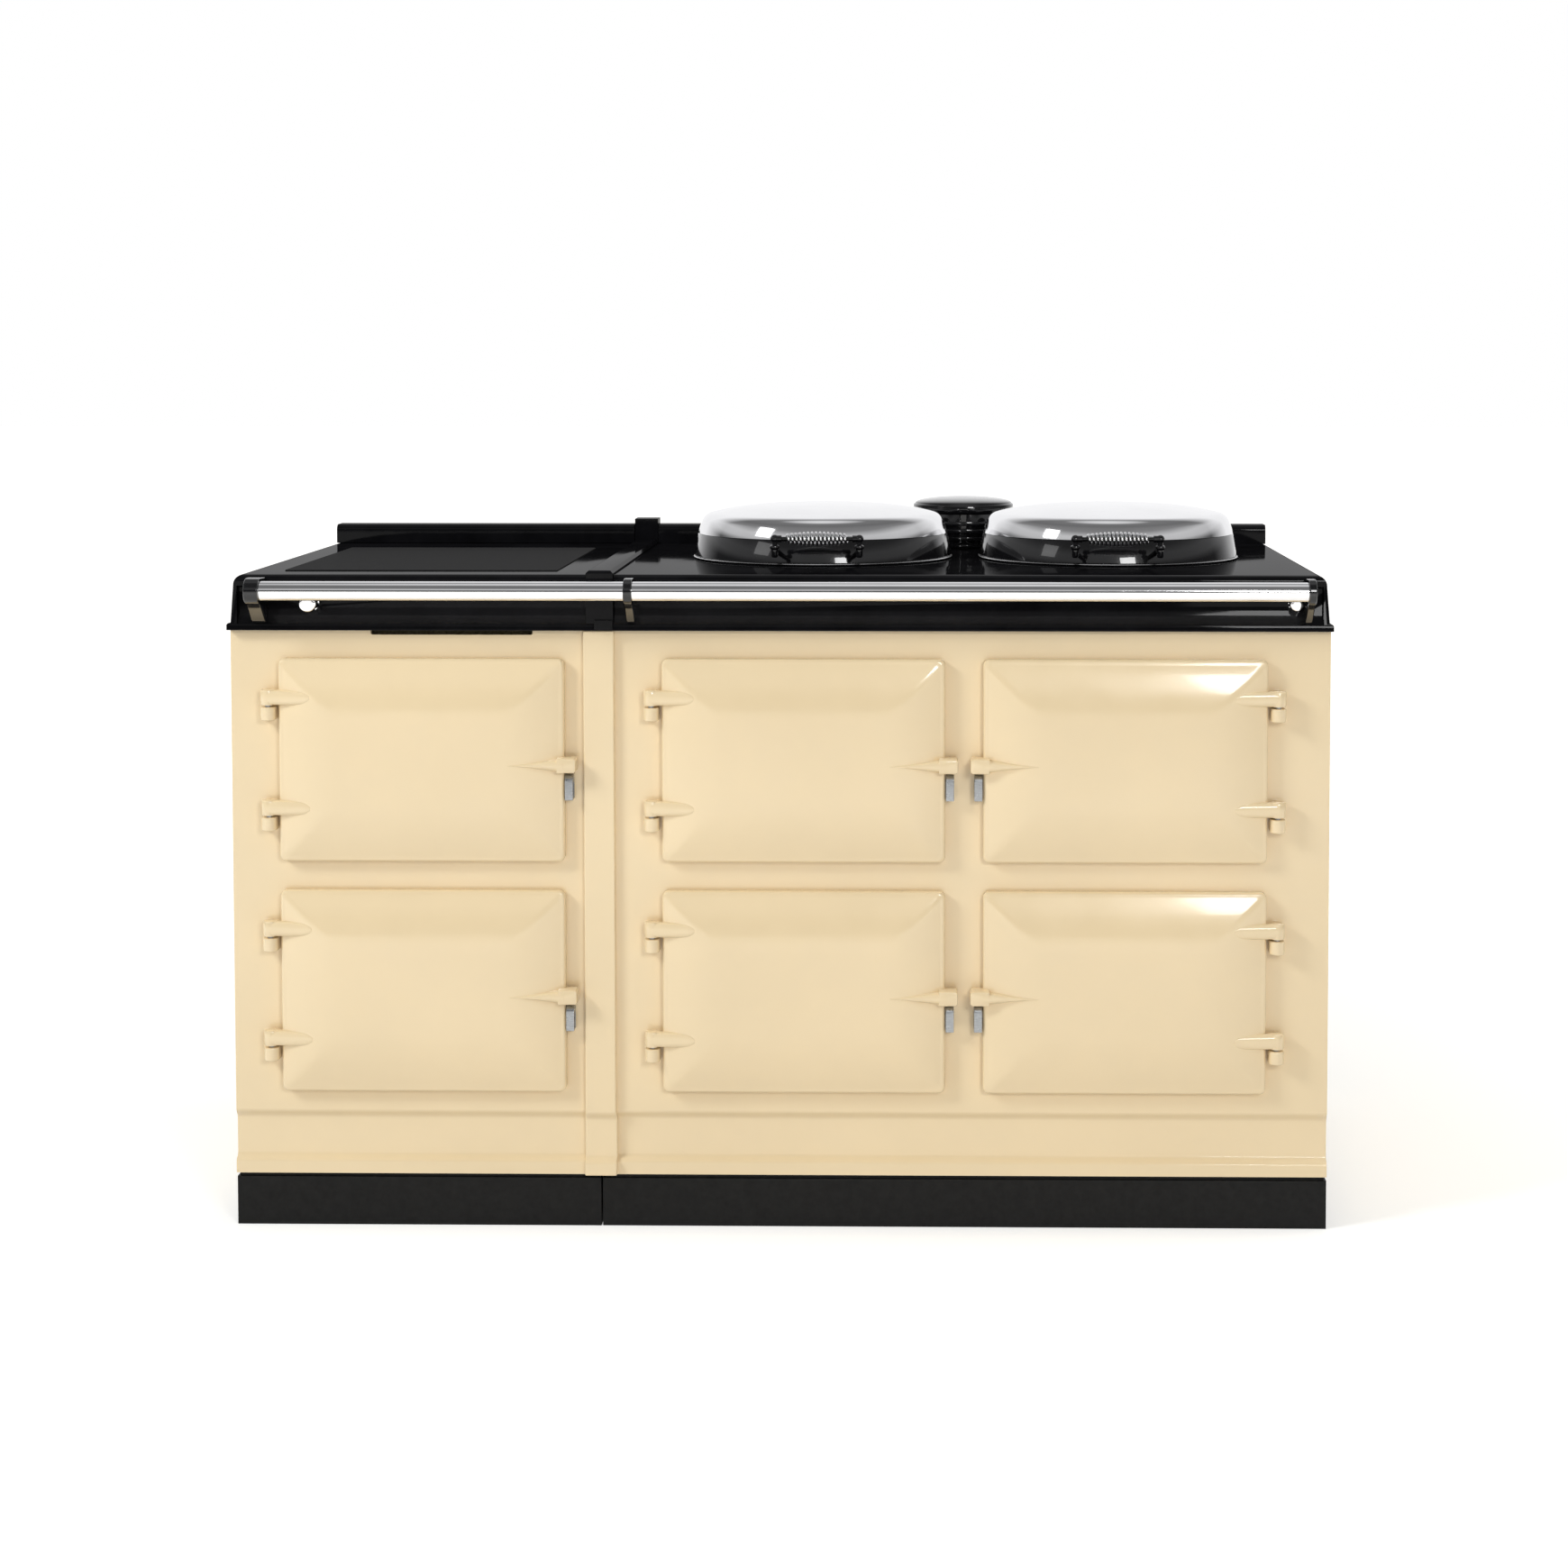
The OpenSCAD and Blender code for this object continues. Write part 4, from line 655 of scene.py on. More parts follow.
def hob_shell(side):
    """A hob without its cuts, and the cuts for its fascia and its underside."""
    outline = [(LIP_Y, BODY_H), (LIP_Y, BODY_H + LIP_H - 2), (LIP_Y + 1, BODY_H + LIP_H)]
    outline += arc(LIP_Y + 1 + NOSE_R, HOB_Z - NOSE_R, NOSE_R, 180, 90, 20)
    outline += [(HOB_BACK_Y, HOB_Z), (HOB_BACK_Y, BODY_H)]
    lip = X_LIP_LEFT if side < 0 else X_LIP_RIGHT
    wall, r = lip - side * 5.5, 14
    top = wall - side * 4
    ends = [(lip, BODY_H), (lip, BODY_H + LIP_H - 2), (lip - side, BODY_H + LIP_H),
            (wall, BODY_H + LIP_H + 1)]
    for i in range(17):
        a = math.radians(90 * i / 16)
        ends.append((top - side * r * (1 - math.cos(a)), HOB_Z - r + r * math.sin(a)))
    joint = X_SPLIT + side * HALF_GAP
    ends += [(joint, HOB_Z), (joint, BODY_H)]
    base = carved(along_x(outline, min(lip, joint), max(lip, joint)),
                  [along_y(ends, LIP_Y - 20, HOB_BACK_Y + 20)], "INTERSECT")
    pocket = [(LIP_Y - 5, BODY_H + LIP_H), (LIP_Y + 2, BODY_H + LIP_H),
              (FASCIA_Y, BODY_H + LIP_H + 14), (FASCIA_Y, HOB_Z - 2 * NOSE_R),
              (LIP_Y + NOSE_R / 2, HOB_Z - 1.7 * NOSE_R), (LIP_Y - 5, HOB_Z - 1.6 * NOSE_R)]
    inner = sorted((lip - side * 17.5, joint + side * 8))
    return base, [along_x(pocket, *sorted((lip - side * r, joint - side * 5))),
                  block(*inner, FASCIA_Y + 8, HOB_BACK_Y - 8, BODY_H - 5, HOB_Z - 9)]


def knob_bore(node):
    """The cut for a knob's spindle."""
    x0, x1, _, _, z0, z1 = span(node)
    return lathe(rod(3.05, -5, 20), 24, forward((x0 + x1) / 2, (z0 + z1) / 2, FASCIA_Y + 15))


def make_hob():
    base, tools = hob_shell(-1)
    x0, x1, y0, y1, z0, _ = span("warming_plate")
    above, below = HOB_Z + 5, HOB_Z - 12
    tools += [block(x0 - SEAT, x1 + SEAT, y0 - SEAT, y1 + SEAT, z0 - SEAT, above),
              knob_bore("left_knob")]
    hob_piece("hob_casting_left", carved(base, tools), "hob_left", 1.2)
    base, tools = hob_shell(1)
    for lid in LIDS:
        x0, x1 = span(lid + "_plate")[:2]
        tools.append(disc(*centre_of(lid + "_plate"), (x1 - x0) / 2 + SEAT, below, above))
    tools += [disc(*centre_of("flue_cap"), FLUE_BORE_R, below, above, 64),
              knob_bore("right_knob")]
    hob_piece("hob_casting_right", carved(base, tools), "hob_right", 1.2)
    make_strip()
    make_upstands()


def make_strip():
    """The raised strip over the joint, with its post at the back and its lug in front."""
    x0, x1 = span("junction_strip")[:2]
    cx, w = (x0 + x1) / 2, (x1 - x0) / 2
    front, r = LIP_Y - 2, 4
    top, low = HOB_Z + 6, BODY_H + LIP_H + SEAT
    pocket = HOB_Z - 2 * NOSE_R - SEAT
    side = [(front, low)] + arc(front + r, top - r, r, 180, 90, 12)
    side += [(HOB_BACK_Y, top), (HOB_BACK_Y, HOB_Z + SEAT)]
    side += arc(LIP_Y + 1 + NOSE_R, HOB_Z - NOSE_R, NOSE_R + SEAT, 90, 180, 20)
    side += [(LIP_Y + 0.7, pocket), (FASCIA_Y - SEAT, pocket), (FASCIA_Y - SEAT, low + 14),
             (LIP_Y + 1.7, low)]
    mask = [(-w, BODY_H), (w, BODY_H), (w, top - r), (w - r, top), (r - w, top), (-w, top - r)]
    bar = carved(along_x(side, cx - w - 1, cx + w + 1),
                 [along_y([(cx + x, z) for x, z in mask], LIP_Y - 40, HOB_BACK_Y + 40)],
                 "INTERSECT")
    post = block(x0 + 0.5, x1 - 0.5, HOB_BACK_Y - 38.01, HOB_BACK_Y, HOB_Z + SEAT, HOB_Z + 38.5)
    lug = block(x1 - 25.5, x1 - 0.5, LIP_Y - 6, LIP_Y - SEAT, BODY_H + 1.5, BODY_H + 15)
    hob_piece("joint_strip", joined(bar, post, lug), "junction_strip", 1.5)


def make_upstands():
    for side in ("left", "right"):
        x0, x1, y0, y1, z0, z1 = span("upstand_" + side)
        outline = [(y0, z0)] + arc(y0 + NOSE_R, z1 - NOSE_R, NOSE_R, 180, 90, 16)
        shape = along_x(outline + [(y1, z1), (y1, z0)], x0, x1)
        if side == "right":
            shape = carved(shape, [disc(*centre_of("flue_cap"), 65.6, z0 - 5, z1 + 5)])
        hob_piece("back_rail_" + side, shape, "upstand_" + side, 1.5)


def make_plates():
    dress("warming_plate", "satin_plate", 1.2)
    for lid in LIDS:
        dress(lid + "_plate", "cast_iron", material=lid + "_machined")


# ---- Lids ----

def dome_outline(inset):
    """Curved side, shoulder and crown of the dome, the given distance inside its face."""
    def bend(start, radius, a0, a1):
        """An arc from a point of the outer face, and where that face's own arc ends."""
        cx, cz = (v - radius * f(math.radians(a0)) for v, f in zip(start, (math.cos, math.sin)))
        return arc(cx, cz, radius - inset, a0, a1, 10), arc(cx, cz, radius, a0, a1, 1)[1]
    side, end = bend((BAND_R, 0), 92, 12, 24)
    shoulder, (_, shoulder_z) = bend(end, 20, 24, 76)
    edge, z = shoulder[-1]
    rise = 42.8 - shoulder_z
    out = [(BAND_R - inset, 0)] + side[1:] + shoulder[1:]
    for i in range(1, 33):
        t = 1 - i / 32
        out.append((edge * t, z + rise * (1 - t ** 3)))
    return out


def make_lids():
    for lid in LIDS:
        x, y = centre_of(lid + "_plate")
        body = lid + "_lid_body"
        profile = dome_outline(0) + dome_outline(2.5)[::-1]
        piece(lid + "_dome", lathe(profile, 192, upright(x, y, BAND_Z + BAND_H - 2.7), True),
              "chrome", body, [lid + "_lid_dome"], sharp=40)
        band = lathe([(LID_R - 2.5, 0), (LID_R - 0.5, 0), (LID_R, 0.6), (BAND_R + 0.2, BAND_H - 4),
                      (BAND_R - 0.6, BAND_H - 3), (BAND_R - 2.5, BAND_H - 3)], 192,
                     upright(x, y, BAND_Z), True)
        axis_y = y + LID_R + LID_AXIS_OUT
        web = block(x - 40, x + 40, y + LID_R * 0.9, axis_y, LID_AXIS_Z - 8, LID_AXIS_Z + 8)
        web = carved(web, [disc(x, y, BAND_R, HOB_Z - 20, HOB_Z + 75, 192)])
        barrel = lathe([(5.05, -48), (10, -48), (11, -47), (11, 47), (10, 48), (5.05, 48)], 48,
                       lengthwise(axis_y, LID_AXIS_Z, x), True)
        piece(lid + "_band", joined(band, web, barrel), "black_enamel", body, [lid + "_lid_band"],
              sharp=30)
        rim = [(175, 0), (186.2, 0), (187.6, 0.5), (188.5, 1.35), (187.6, 2.2), (186.2, 2.7),
               (177, 2.7), (173, 12), (0, 12)]
        under = [(0, 10), (171, 10), (175, 0)]
        at = upright(x, y, HOB_Z + 0.6)
        piece(lid + "_underside", joined(lathe(rim, 192, at), lathe(under, 192, at)), "chrome",
              body, [lid + "_lid_lining"], sharp=30, material="satin_chrome")
        make_handle(lid, x, y, body)


def make_handle(lid, x, y, body):
    """Two turned posts with arms back to the band, and the bar that carries the coil."""
    hy, hz = y - LID_R - HANDLE_OUT, HANDLE_Z
    reach, post_x = 48.5, 58.5
    parts = [lathe(rod(3, 1 - post_x, post_x - 1), 24, lengthwise(hy, hz, x))]
    cone = lathe([(0, 0), (LID_R + SEAT, 0), (BAND_R + SEAT, BAND_H - 3), (BAND_R + SEAT, BAND_H),
                  (SHELL_R, BAND_H + 22), (0, BAND_H + 22)], 192, upright(x, y, BAND_Z))
    ball = [(0, -6)] + arc(0, 0, 6, -84, 84, 14) + [(0, 6)]
    stem = [(0, -1), (3.6, -1), (4, -8), (5.4, -8.8), (6.5, -9.6), (6.8, -10.5), (6.8, -12.5),
            (6.5, -13.4), (5.4, -14.3), (4.6, -15.4), (4.6, -24), (4, -25.3), (2.6, -26), (0, -26)]
    for s in (-1, 1):
        a = x + s * post_x
        start = x + s * (reach + SEAT)
        parts += [
            lathe(ball, 32, upright(a, hy, hz)),
            lathe(stem, 32, upright(a, hy, hz)),
            lathe([(0, 0), (4.5, 0), (5, 0.5), (5, 7.7), (0, 7.7)], 32,
                  lambda u, v, h, s=s, o=start: (o + s * h, hy + u, hz + v)),
            carved(lathe(rod(4, 0, 62), 32,
                         lambda u, v, h, a=a: (a + u, hy + h, hz - 19.4 + v)), [cone])]
    piece(lid + "_handle", joined(*parts), "black_enamel", body, [lid + "_lid_bar"], sharp=32)


TURNS, WIRE_R, COIL_R, COIL_END_R = 15, 1.8, 10.5, 7.5
BEND_R, POST_SPAN = WIRE_R * 1.5, 97
COIL_SPAN = POST_SPAN - 2 * (2 * WIRE_R + BEND_R + SEAT)


def coil_rings(per_turn, sides):
    """The wire's rings: straight end, bend, helix that swells at its middle, bend, end."""
    along = Vector((1, 0, 0))

    def radius(t):
        return COIL_END_R - WIRE_R + (COIL_R - COIL_END_R) * math.sin(math.pi * t)

    def place(t):
        """The wire's centre, and the directions out from the coil's axis and round it."""
        a, r = math.tau * TURNS * t, radius(t)
        c, s = math.cos(a), math.sin(a)
        return Vector((COIL_SPAN * (t - 0.5), r * c, r * s)), Vector((0, c, s)), Vector((0, -s, c))

    def ring(centre, out, forward):
        side = -out.cross(forward)
        turns = [math.tau * j / sides for j in range(sides)]
        return [centre + WIRE_R * (out * math.cos(a) + side * math.sin(a)) for a in turns]

    def bend(end, a):
        """A ring of the bend at the first or last end, turned by an angle from the helix."""
        centre, out, u = place(0 if end < 0 else 1)
        centre += end * BEND_R * u * math.sin(a) + end * Vector((BEND_R * (1 - math.cos(a)), 0, 0))
        return ring(centre, out, Vector((math.sin(a), 0, 0)) + u * math.cos(a))

    def tail(end):
        centre, out, u = place(0 if end < 0 else 1)
        return ring(centre + end * BEND_R * u + end * (BEND_R + 2 * WIRE_R) * along, out, along)

    angles = [math.radians(a) for a in (75, 60, 45, 30, 15)]
    rings = [tail(-1), bend(-1, math.radians(90))] + [bend(-1, a) for a in angles]
    for i in range(TURNS * per_turn + 1):
        t = i / (TURNS * per_turn)
        centre, out, u = place(t)
        d = Vector((COIL_SPAN / (TURNS * math.tau * radius(t)), 0, 0)) + u
        rings.append(ring(centre, out, d.normalized()))
    rings += [bend(1, a) for a in reversed(angles)] + [bend(1, math.radians(90)), tail(1)]
    return rings


def make_coils():
    for lid in LIDS:
        x, y = centre_of(lid + "_plate")
        at = Vector((x, y - LID_R - HANDLE_OUT, HANDLE_Z))
        rings = [[tuple(p + at) for p in ring] for ring in coil_rings(24, 14)]
        piece(lid + "_coil", loft(rings), "chrome", lid + "_lid_body", [lid + "_lid_coil"],
              sharp=60)


def make_lid_hinges():
    dress("lid_hinge_brackets", "black_enamel", 0.8)
    dress("lid_hinge_pins", "spring_steel")


# ---- Rails, knobs and flue ----

def make_rails():
    for node in ("rail_left", "rail_right"):
        x0, x1, y0, y1, z0, z1 = span(node)
        r = (z1 - z0) / 2
        tube = lathe([(0, x0), (r - 1, x0), (r, x0 + 1), (r, x1 - 1), (r - 1, x1), (0, x1)], 96,
                     lengthwise((y0 + y1) / 2, (z0 + z1) / 2))
        piece(node + "_tube", tube, "chrome", CABINET, [node], sharp=30)
    ry, rz, head, socket = centre_of("rail_left")[1], HOB_Z - 19, 17.5, 3.7
    outline = arc(ry, rz, head, 90, 270, 32)
    outline += [(LIP_Y - 12, BODY_H + LIP_H + 6.3), (LIP_Y - SEAT, BODY_H + LIP_H + SEAT),
                (FASCIA_Y - SEAT, BODY_H + LIP_H + 14), (FASCIA_Y - SEAT, HOB_Z - 18.3),
                (LIP_Y - SEAT, HOB_Z - 18.3), (LIP_Y - SEAT, rz + head - 2)]
    x0, x1 = span("rail_brackets")[:2]
    left, right = span("rail_left")[:2], span("rail_right")[:2]
    parts = []
    for a, b in ((x0, left[0] + socket), (left[1] - socket, right[0] + socket),
                 (right[1] - socket, x1)):
        tools = []
        for end, way in ((left[0], 1), (left[1], -1), (right[0], 1), (right[1], -1)):
            if a - 1 < end < b + 1:
                tools.append(lathe(rod(13.15, -SEAT, 20), 64,
                                   lambda x, y, h, e=end, w=way: (e + w * h, ry + x, rz + y)))
        parts.append(carved(along_x(outline, a, b), tools))
    piece("rail_bracket_set", joined(*parts), "black_enamel", CABINET, ["rail_brackets"], edge=1.6,
          angle=50)


def knob_shape(node, flutes, depth):
    """A turned knob with a domed end and flutes round its grip."""
    x0, x1, y0, _, z0, z1 = span(node)
    r, length = (x1 - x0) / 2, FASCIA_Y - y0
    cx, cz = (x0 + x1) / 2, (z0 + z1) / 2
    profile = [(3, -12), (3, 0.6), (r - 1, 0.6), (r - 0.3, 0.9), (r, 1.6), (r, 3.2)]
    grip_from = len(profile)
    profile += [(r, 3.4)] + arc(r / 2, length - r / 2, r / 2, 0, 90, 10) + [(r * 0.1, length)]
    n = flutes * 12
    rings = []
    for i, (q, h) in enumerate(profile):
        ring = []
        for j in range(n):
            a = math.tau * j / n
            bite = depth * max(0.0, math.cos(flutes * a)) ** 1.5 if i >= grip_from else 0.0
            k = max(min(q, r - bite), 0.2)
            ring.append((cx + k * math.cos(a), FASCIA_Y - h, cz + k * math.sin(a)))
        rings.append(ring)
    return loft(rings)


def make_knobs():
    for side, flutes, depth in (("left", 8, 1.0), ("right", 12, 0.9)):
        node = side + "_knob"
        piece(node + "_turned", knob_shape(node, flutes, depth), "chrome", node + "_body",
              [node], sharp=40)


def make_flue():
    x, y = centre_of("flue_cap")
    ribs, r, neck_r, height = 4, 65, 60, 51.7
    pitch = 52 / (ribs + 0.5)
    profile = [(FLUE_BORE_R, 0)]
    for i in range(ribs):
        a, b = i * pitch, (i + 0.5) * pitch
        profile += [(r - 1, a), (r - 0.2, a + 0.3), (r, a + 1.2), (r, b - 1.2), (r - 0.2, b - 0.3),
                    (r - 1, b), (neck_r, b), (neck_r, (i + 1) * pitch)]
    profile += [(neck_r, height), (FLUE_BORE_R, height)]
    piece("flue_collar", lathe(profile, 128, upright(x, y, HOB_Z + SEAT), True), "black_enamel",
          CABINET, ["flue_neck"], sharp=32)
    profile = [(0, 0), (72, 0), (75.6, 1.2), (77, 4), (77, 12), (76.5, 13.4), (75.2, 14.4)]
    profile += [(74 * c, 15 + 10 * s) for c, s in arc(0, 0, 1, 0, 90, 24)[:-1]] + [(0, 25)]
    piece("flue_lid", lathe(profile, 160, upright(x, y, HOB_Z + 52.3)), "black_enamel", CABINET,
          ["flue_cap"], sharp=50)


# ---- Cabinet and ovens, which keep their CAD forms ----

def make_cabinet():
    for node, slot, edge in (
            ("plinth_left", "matte_black", 0.8), ("plinth_right", "matte_black", 0.8),
            ("side_panels", "cream_enamel", 0.8), ("back_panels", "zinc_plate", 0),
            ("base_frames", "matte_black", 0), ("cable_gland", "matte_black", 0),
            ("insulation", "mineral_wool", 0)):
        dress(node, slot, edge)


def make_ovens():
    for key in ("plate_warming", "slow", "roasting", "baking", "simmering"):
        dress(key + "_oven", "cast_iron", 1.0)
    dress("control_box", "zinc_plate")
    dress("oven_shelves", "chrome")
    dress("heating_elements", "cast_iron")


# ---- Stage, in metres ----

def emptied(owner):
    """The node tree of a material or world, without its first nodes."""
    owner.use_nodes = True
    owner.node_tree.nodes.clear()
    return Nodes(owner.node_tree)


def make_stage(stage):
    bpy.context.scene.view_settings.view_transform = "Standard"
    make_floor(stage)
    make_world(stage)
    make_lamps(stage)
    make_camera(stage)


def make_floor(stage):
    """A wide floor that keeps shadows and turns white further out."""
    half, near, far = 40.0, 1.0, 4.0
    me = bpy.data.meshes.new("floor")
    me.from_pydata([(-half, -half, 0), (half, -half, 0), (half, half, 0), (-half, half, 0)], [],
                   [(0, 1, 2, 3)])
    floor = linked("floor", me)
    material = bpy.data.materials.new("floor_white")
    t = emptied(material)
    path = t.node("LightPath", {}).outputs
    seen = t.node("Math", {0: path["Is Camera Ray"], 1: path["Is Glossy Ray"]},
                  operation="ADD", use_clamp=True).outputs[0]
    distance = t.node("VectorMath", {0: t.node("TexCoord", {}).outputs["Object"]},
                      operation="LENGTH").outputs["Value"]
    lift = t.node("Math", {0: seen, 1: t.mapped(distance, near, far, stage.floor_lift)},
                  operation="MULTIPLY").outputs[0]
    both = t.node("AddShader", {
        0: t.node("BsdfDiffuse", {"Color": (0.9, 0.9, 0.9, 1)}).outputs[0],
        1: t.node("Emission", {"Strength": lift}).outputs[0]})
    t.node("OutputMaterial", {"Surface": both.outputs[0]})
    me.materials.append(material)


def make_world(stage):
    """White to the camera, a graded studio to reflections, and soft warm light to the rest."""
    world = bpy.context.scene.world = bpy.data.worlds.new("studio")
    t = emptied(world)
    path = t.node("LightPath", {}).outputs
    direction = t.node("SeparateXYZ", {0: t.node("TexCoord", {}).outputs["Generated"]}).outputs
    height = t.mapped(direction["Z"], -1.0, 1.0)

    def by_height(*stops):
        """A colour ramp over the height of the direction, from stops of (height, colour)."""
        return t.ramp(height, [((z + 1) / 2, c) for z, c in stops])

    def greys(*stops):
        return by_height(*((z, (v, v, v * 1.01)) for z, v in stops))

    def background(colour, strength=1.0):
        return t.node("Background", {"Color": colour, "Strength": strength}).outputs[0]

    def mixed(factor, a, b):
        return t.node("MixShader", {0: factor, 1: a, 2: b}).outputs[0]

    soft = by_height((0.0, (0.47, 0.435, 0.35)), (1.0, (1.0, 0.95, 0.84)),
                     (0.24, (0.44, 0.41, 0.33)))
    front = greys((0.0, 0.06), (1.0, 0.8), (0.2, 0.1), (0.3, 0.55), (0.42, 0.6), (0.56, 0.24),
                  (0.75, 0.16), (0.93, 0.2))
    rear = greys((0.0, 0.99), (1.0, 0.8), (0.5, 0.99))
    studio = mixed(t.mapped(direction["Y"], 0.3, 0.75), background(front), background(rear))
    lit = mixed(path["Is Glossy Ray"], background(soft, stage.room), studio)
    seen = t.node("Math", {0: path["Is Camera Ray"], 1: path["Is Transmission Ray"]},
                  operation="MAXIMUM", use_clamp=True).outputs[0]
    t.node("OutputWorld", {"Surface": mixed(seen, lit, background((1.0, 1.0, 1.0, 1.0)))})


def make_lamps(stage):
    """Each has a name, place, size, power and tint, and shows in reflections or doesn't."""
    aim, white = Vector((0, 0, 0.6)), (1.0, 1.0, 1.0)
    for name, place, size, power, tint, mirrored in (
            ("key", (-3.3, -2.2, 3.0), 1.2, stage.key, (0.95, 0.98, 1.0), False),
            ("window", (-3.2, -2.13, 2.94), 1.1, stage.key / 12, white, True),
            ("fill", (1.5, -4.1, 2.1), 1.0, stage.fill, white, True),
            ("side", (3.6, 0.4, 2.0), 2.0, stage.fill / 2, white, False),
            ("top", (0.2, 0.6, 3.6), 3.0, stage.top, white, False)):
        light = bpy.data.lights.new(name, "AREA")
        light.shape, light.size, light.energy, light.color = "SQUARE", size, power, tint
        o = linked(name, light)
        o.location = place
        o.rotation_euler = (aim - o.location).to_track_quat("-Z", "Y").to_euler()
        o.visible_camera, o.visible_glossy = False, mirrored


def make_camera(stage):
    """The camera, turned so that the horizon and the vanishing point keep their places."""
    sensor = 36.0
    focal = stage.lens / sensor
    data = bpy.data.cameras.new("camera")
    data.sensor_width, data.lens = sensor, stage.lens
    data.shift_x, data.shift_y = stage.shift_x, stage.shift_y
    data.clip_start, data.clip_end = 0.05, 100
    cam = linked("camera", data)
    cam.location = (stage.camera_x, FRONT_Y * MM - stage.camera_back, stage.camera_z)
    pitch = math.atan((stage.horizon + stage.shift_y) / focal)
    yaw = math.atan((stage.vanish + stage.shift_x) / focal)
    cam.rotation_euler = (math.pi / 2 - pitch, 0, yaw)
    bpy.context.scene.camera = cam


# ---- Add-on ----

def colour_property(name, description, default):
    return FloatVectorProperty(name=name, description=description, subtype="COLOR", size=3,
                               min=0, max=1, default=default)


def length_property(name, description, default, **limits):
    return FloatProperty(name=name, description=description, subtype="DISTANCE", unit="LENGTH",
                         default=default, **limits)


def power_property(name, description, default):
    return FloatProperty(name=name, description=description, unit="POWER", min=0,
                         default=default)


class CookerColours(PropertyGroup):
    cream: colour_property("Cream enamel", "Colour of the doors and front plates",
                           linear((0.955, 0.87, 0.715)))
    black: colour_property("Black enamel", "Colour of the hob and brackets",
                           (0.005, 0.005, 0.006))
    plinth: colour_property("Plinth", "Colour of the plinth's matte paint",
                            (0.007, 0.007, 0.007))
    chrome: colour_property("Chrome", "Tint of the polished metal", (0.86, 0.86, 0.87))


class CookerSurface(PropertyGroup):
    orange_peel: length_property("Orange peel", "Depth of the enamel's fine waves", 0.00001,
                                 min=0, max=0.001, precision=6)
    mottle: FloatProperty(
        name="Mottle", description="How much the enamel's tone varies over a panel",
        subtype="FACTOR", min=0, max=0.2, default=0.03)


class CookerStage(PropertyGroup):
    lens: FloatProperty(
        name="Lens", description="Focal length of the camera", unit="CAMERA", min=20, max=200,
        default=61.9)
    camera_x: length_property("Camera to the right", "Camera's place along the front", 0.2)
    camera_back: length_property("Camera distance", "From the front plates out to the camera",
                                 3.6, min=1)
    camera_z: length_property("Camera height", "Height of the camera over the floor", 1.1816,
                              min=0)
    shift_x: FloatProperty(
        name="Shift X", description="Sideways shift of the lens", default=-0.065)
    shift_y: FloatProperty(
        name="Shift Y", description="Upward shift of the lens", default=-0.185)
    horizon: FloatProperty(
        name="Horizon", description="Height of the horizon over the image's centre, in widths",
        default=0.2736)
    vanish: FloatProperty(
        name="Vanishing point", description="How far it lies right of the centre, in widths",
        default=0.092)
    room: FloatProperty(
        name="Room light", description="Strength of the soft light all round", min=0, default=0.4)
    key: power_property("Key lamp", "Power of the lamp at the upper left", 89)
    fill: power_property("Fill lamp", "Power of the lamp at the right", 52)
    top: power_property("Top lamp", "Power of the lamp overhead", 25)
    floor_lift: FloatProperty(
        name="Floor lift", description="Extra white of the floor, seen directly or reflected",
        min=0, max=1, default=0.4)


class COOKER_OT_materials(Operator):
    """Make the enamels and metals"""
    bl_idname = "cooker.materials"
    bl_label = "Materials"

    def execute(self, context):
        make_materials(context.scene.cooker_colours, context.scene.cooker_surface)
        return {"FINISHED"}


class COOKER_OT_stage(Operator):
    """Make the floor, lights and camera"""
    bl_idname = "cooker.stage"
    bl_label = "Stage"

    def execute(self, context):
        make_stage(context.scene.cooker_stage)
        return {"FINISHED"}


class COOKER_OT_cabinet(Operator):
    """Finish the plinths, base frames, side and back panels"""
    bl_idname = "cooker.cabinet"
    bl_label = "Cabinet"

    def execute(self, context):
        make_cabinet()
        return {"FINISHED"}


class COOKER_OT_fronts(Operator):
    """Make the cast front plates and the cover strip"""
    bl_idname = "cooker.fronts"
    bl_label = "Front plates"

    def execute(self, context):
        make_fronts()
        return {"FINISHED"}


class COOKER_OT_doors(Operator):
    """Make the six crowned doors with their arms"""
    bl_idname = "cooker.doors"
    bl_label = "Doors"

    def execute(self, context):
        make_doors()
        return {"FINISHED"}


class COOKER_OT_hinges(Operator):
    """Make the hinge blocks, pins and catches"""
    bl_idname = "cooker.hinges"
    bl_label = "Hinges and catches"

    def execute(self, context):
        make_hinges()
        return {"FINISHED"}


class COOKER_OT_ovens(Operator):
    """Finish the ovens, shelves and elements"""
    bl_idname = "cooker.ovens"
    bl_label = "Ovens"

    def execute(self, context):
        make_ovens()
        return {"FINISHED"}


class COOKER_OT_hob(Operator):
    """Make the hob castings, joint strip and upstands"""
    bl_idname = "cooker.hob"
    bl_label = "Hob"

    def execute(self, context):
        make_hob()
        return {"FINISHED"}


class COOKER_OT_plates(Operator):
    """Finish the warming plate and the hotplates"""
    bl_idname = "cooker.plates"
    bl_label = "Plates"

    def execute(self, context):
        make_plates()
        return {"FINISHED"}


class COOKER_OT_lids(Operator):
    """Make the two domed lids and their handles"""
    bl_idname = "cooker.lids"
    bl_label = "Lids"

    def execute(self, context):
        make_lids()
        make_lid_hinges()
        return {"FINISHED"}


class COOKER_OT_coils(Operator):
    """Wind the coils of the lid handles"""
    bl_idname = "cooker.coils"
    bl_label = "Coils"

    def execute(self, context):
        make_coils()
        return {"FINISHED"}


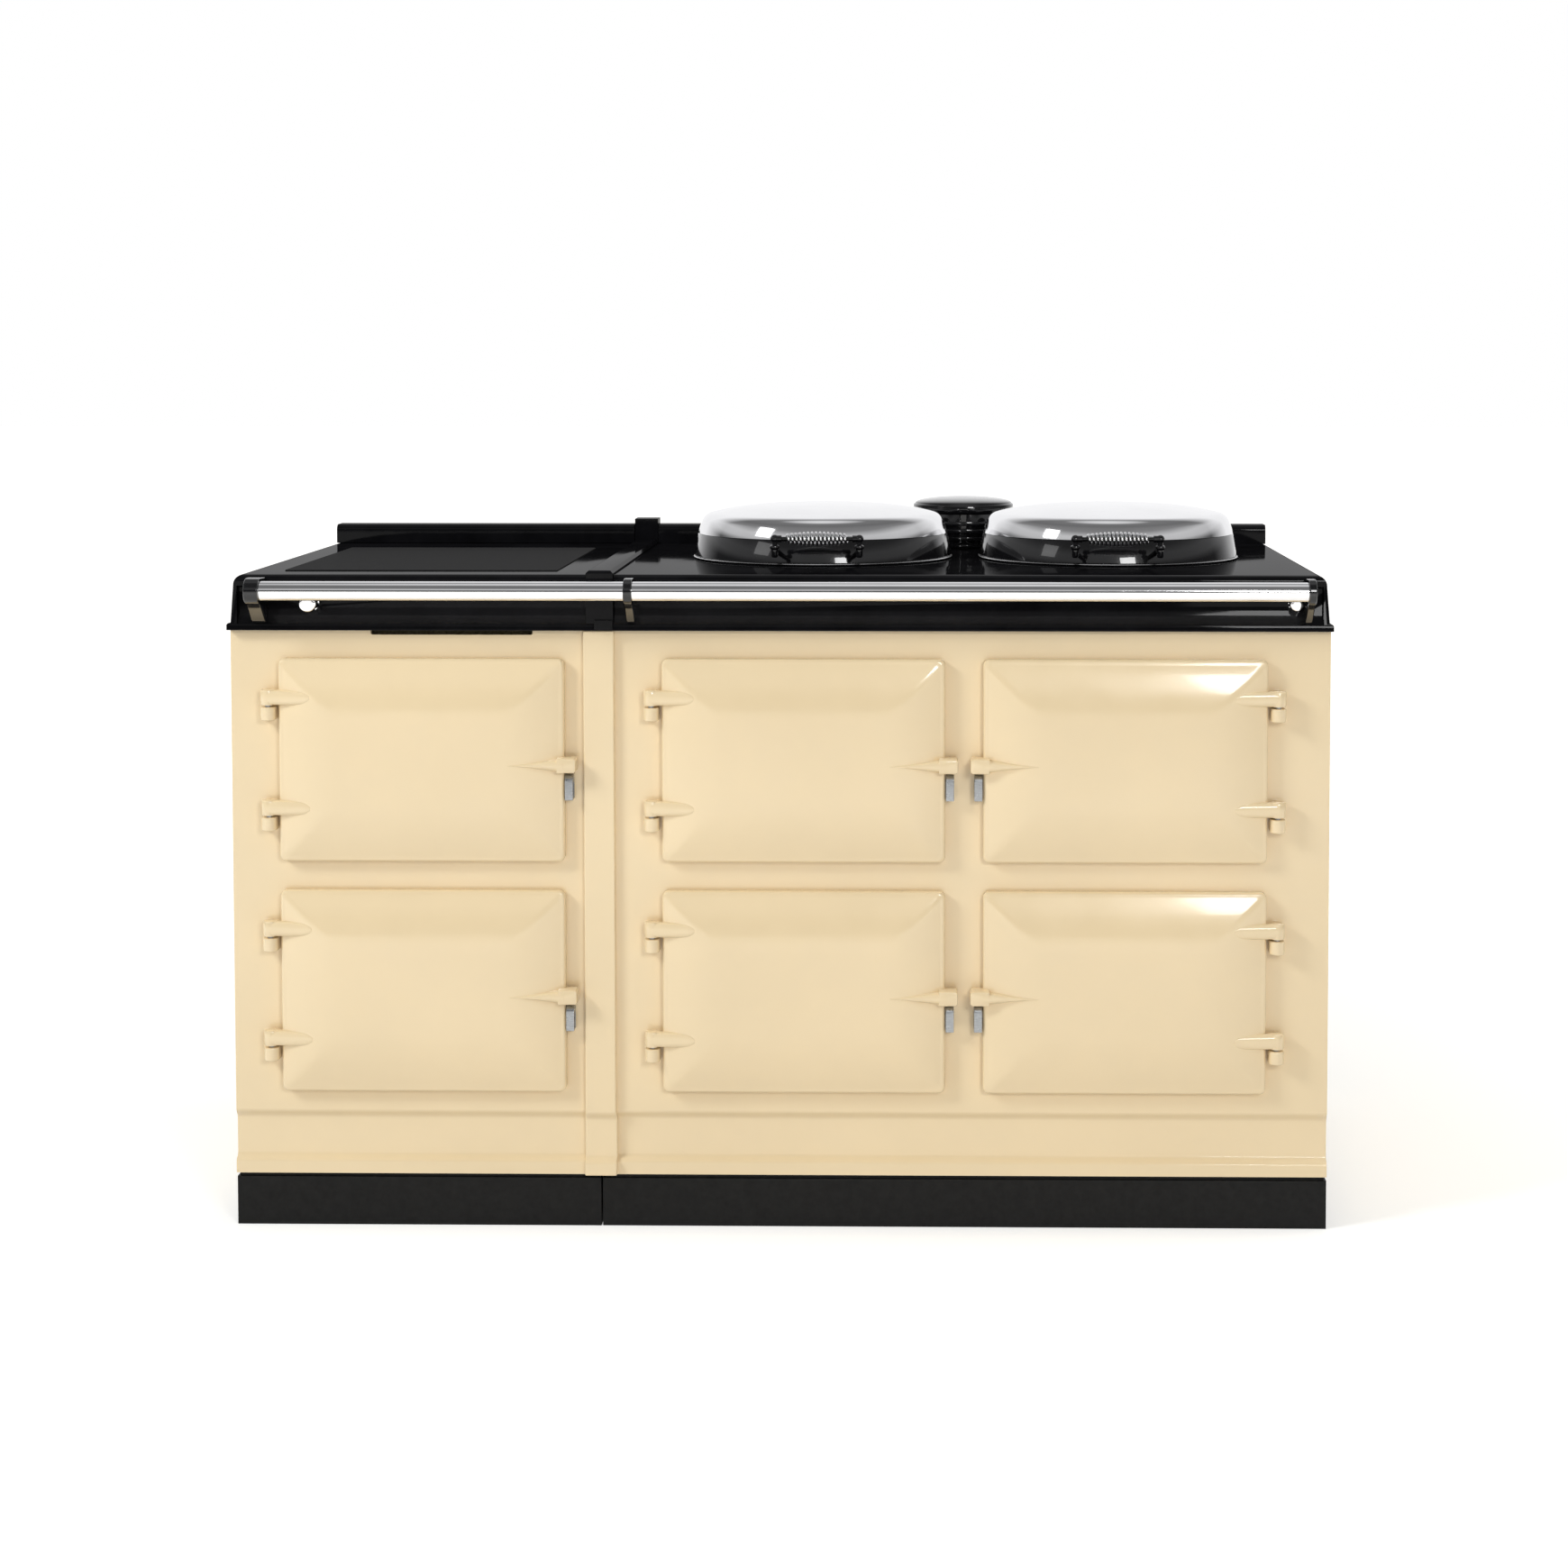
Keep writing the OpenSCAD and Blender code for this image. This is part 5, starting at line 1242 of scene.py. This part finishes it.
class COOKER_OT_rails(Operator):
    """Make the rails and their brackets"""
    bl_idname = "cooker.rails"
    bl_label = "Rails"

    def execute(self, context):
        make_rails()
        return {"FINISHED"}


class COOKER_OT_knobs(Operator):
    """Make the two knobs"""
    bl_idname = "cooker.knobs"
    bl_label = "Knobs"

    def execute(self, context):
        make_knobs()
        return {"FINISHED"}


class COOKER_OT_flue(Operator):
    """Make the flue's ribbed neck and its cap"""
    bl_idname = "cooker.flue"
    bl_label = "Flue"

    def execute(self, context):
        make_flue()
        return {"FINISHED"}


STEPS = ("materials", "stage", "cabinet", "fronts", "doors", "hinges", "ovens", "hob", "plates",
         "lids", "coils", "rails", "knobs", "flue")


class COOKER_PT_panel(Panel):
    """Lists the cooker's pieces and their settings"""
    bl_idname = "COOKER_PT_panel"
    bl_label = "Cooker"
    bl_space_type = "VIEW_3D"
    bl_region_type = "UI"
    bl_category = "Cooker"

    def draw(self, context):
        for group in ("cooker_colours", "cooker_surface", "cooker_stage"):
            data = getattr(context.scene, group)
            for name in data.__annotations__:
                self.layout.prop(data, name)
        for step in STEPS:
            self.layout.operator("cooker." + step)


CLASSES = (CookerColours, CookerSurface, CookerStage, COOKER_OT_materials, COOKER_OT_stage,
           COOKER_OT_cabinet, COOKER_OT_fronts, COOKER_OT_doors, COOKER_OT_hinges, COOKER_OT_ovens,
           COOKER_OT_hob, COOKER_OT_plates, COOKER_OT_lids, COOKER_OT_coils, COOKER_OT_rails,
           COOKER_OT_knobs, COOKER_OT_flue, COOKER_PT_panel)


def register():
    for c in CLASSES:
        bpy.utils.register_class(c)
    bpy.types.Scene.cooker_colours = PointerProperty(type=CookerColours)
    bpy.types.Scene.cooker_surface = PointerProperty(type=CookerSurface)
    bpy.types.Scene.cooker_stage = PointerProperty(type=CookerStage)


def unregister():
    del bpy.types.Scene.cooker_stage
    del bpy.types.Scene.cooker_surface
    del bpy.types.Scene.cooker_colours
    for c in reversed(CLASSES):
        bpy.utils.unregister_class(c)


def main():
    register()
    for step in STEPS:
        getattr(bpy.ops.cooker, step)()


if __name__ == "__main__":
    main()
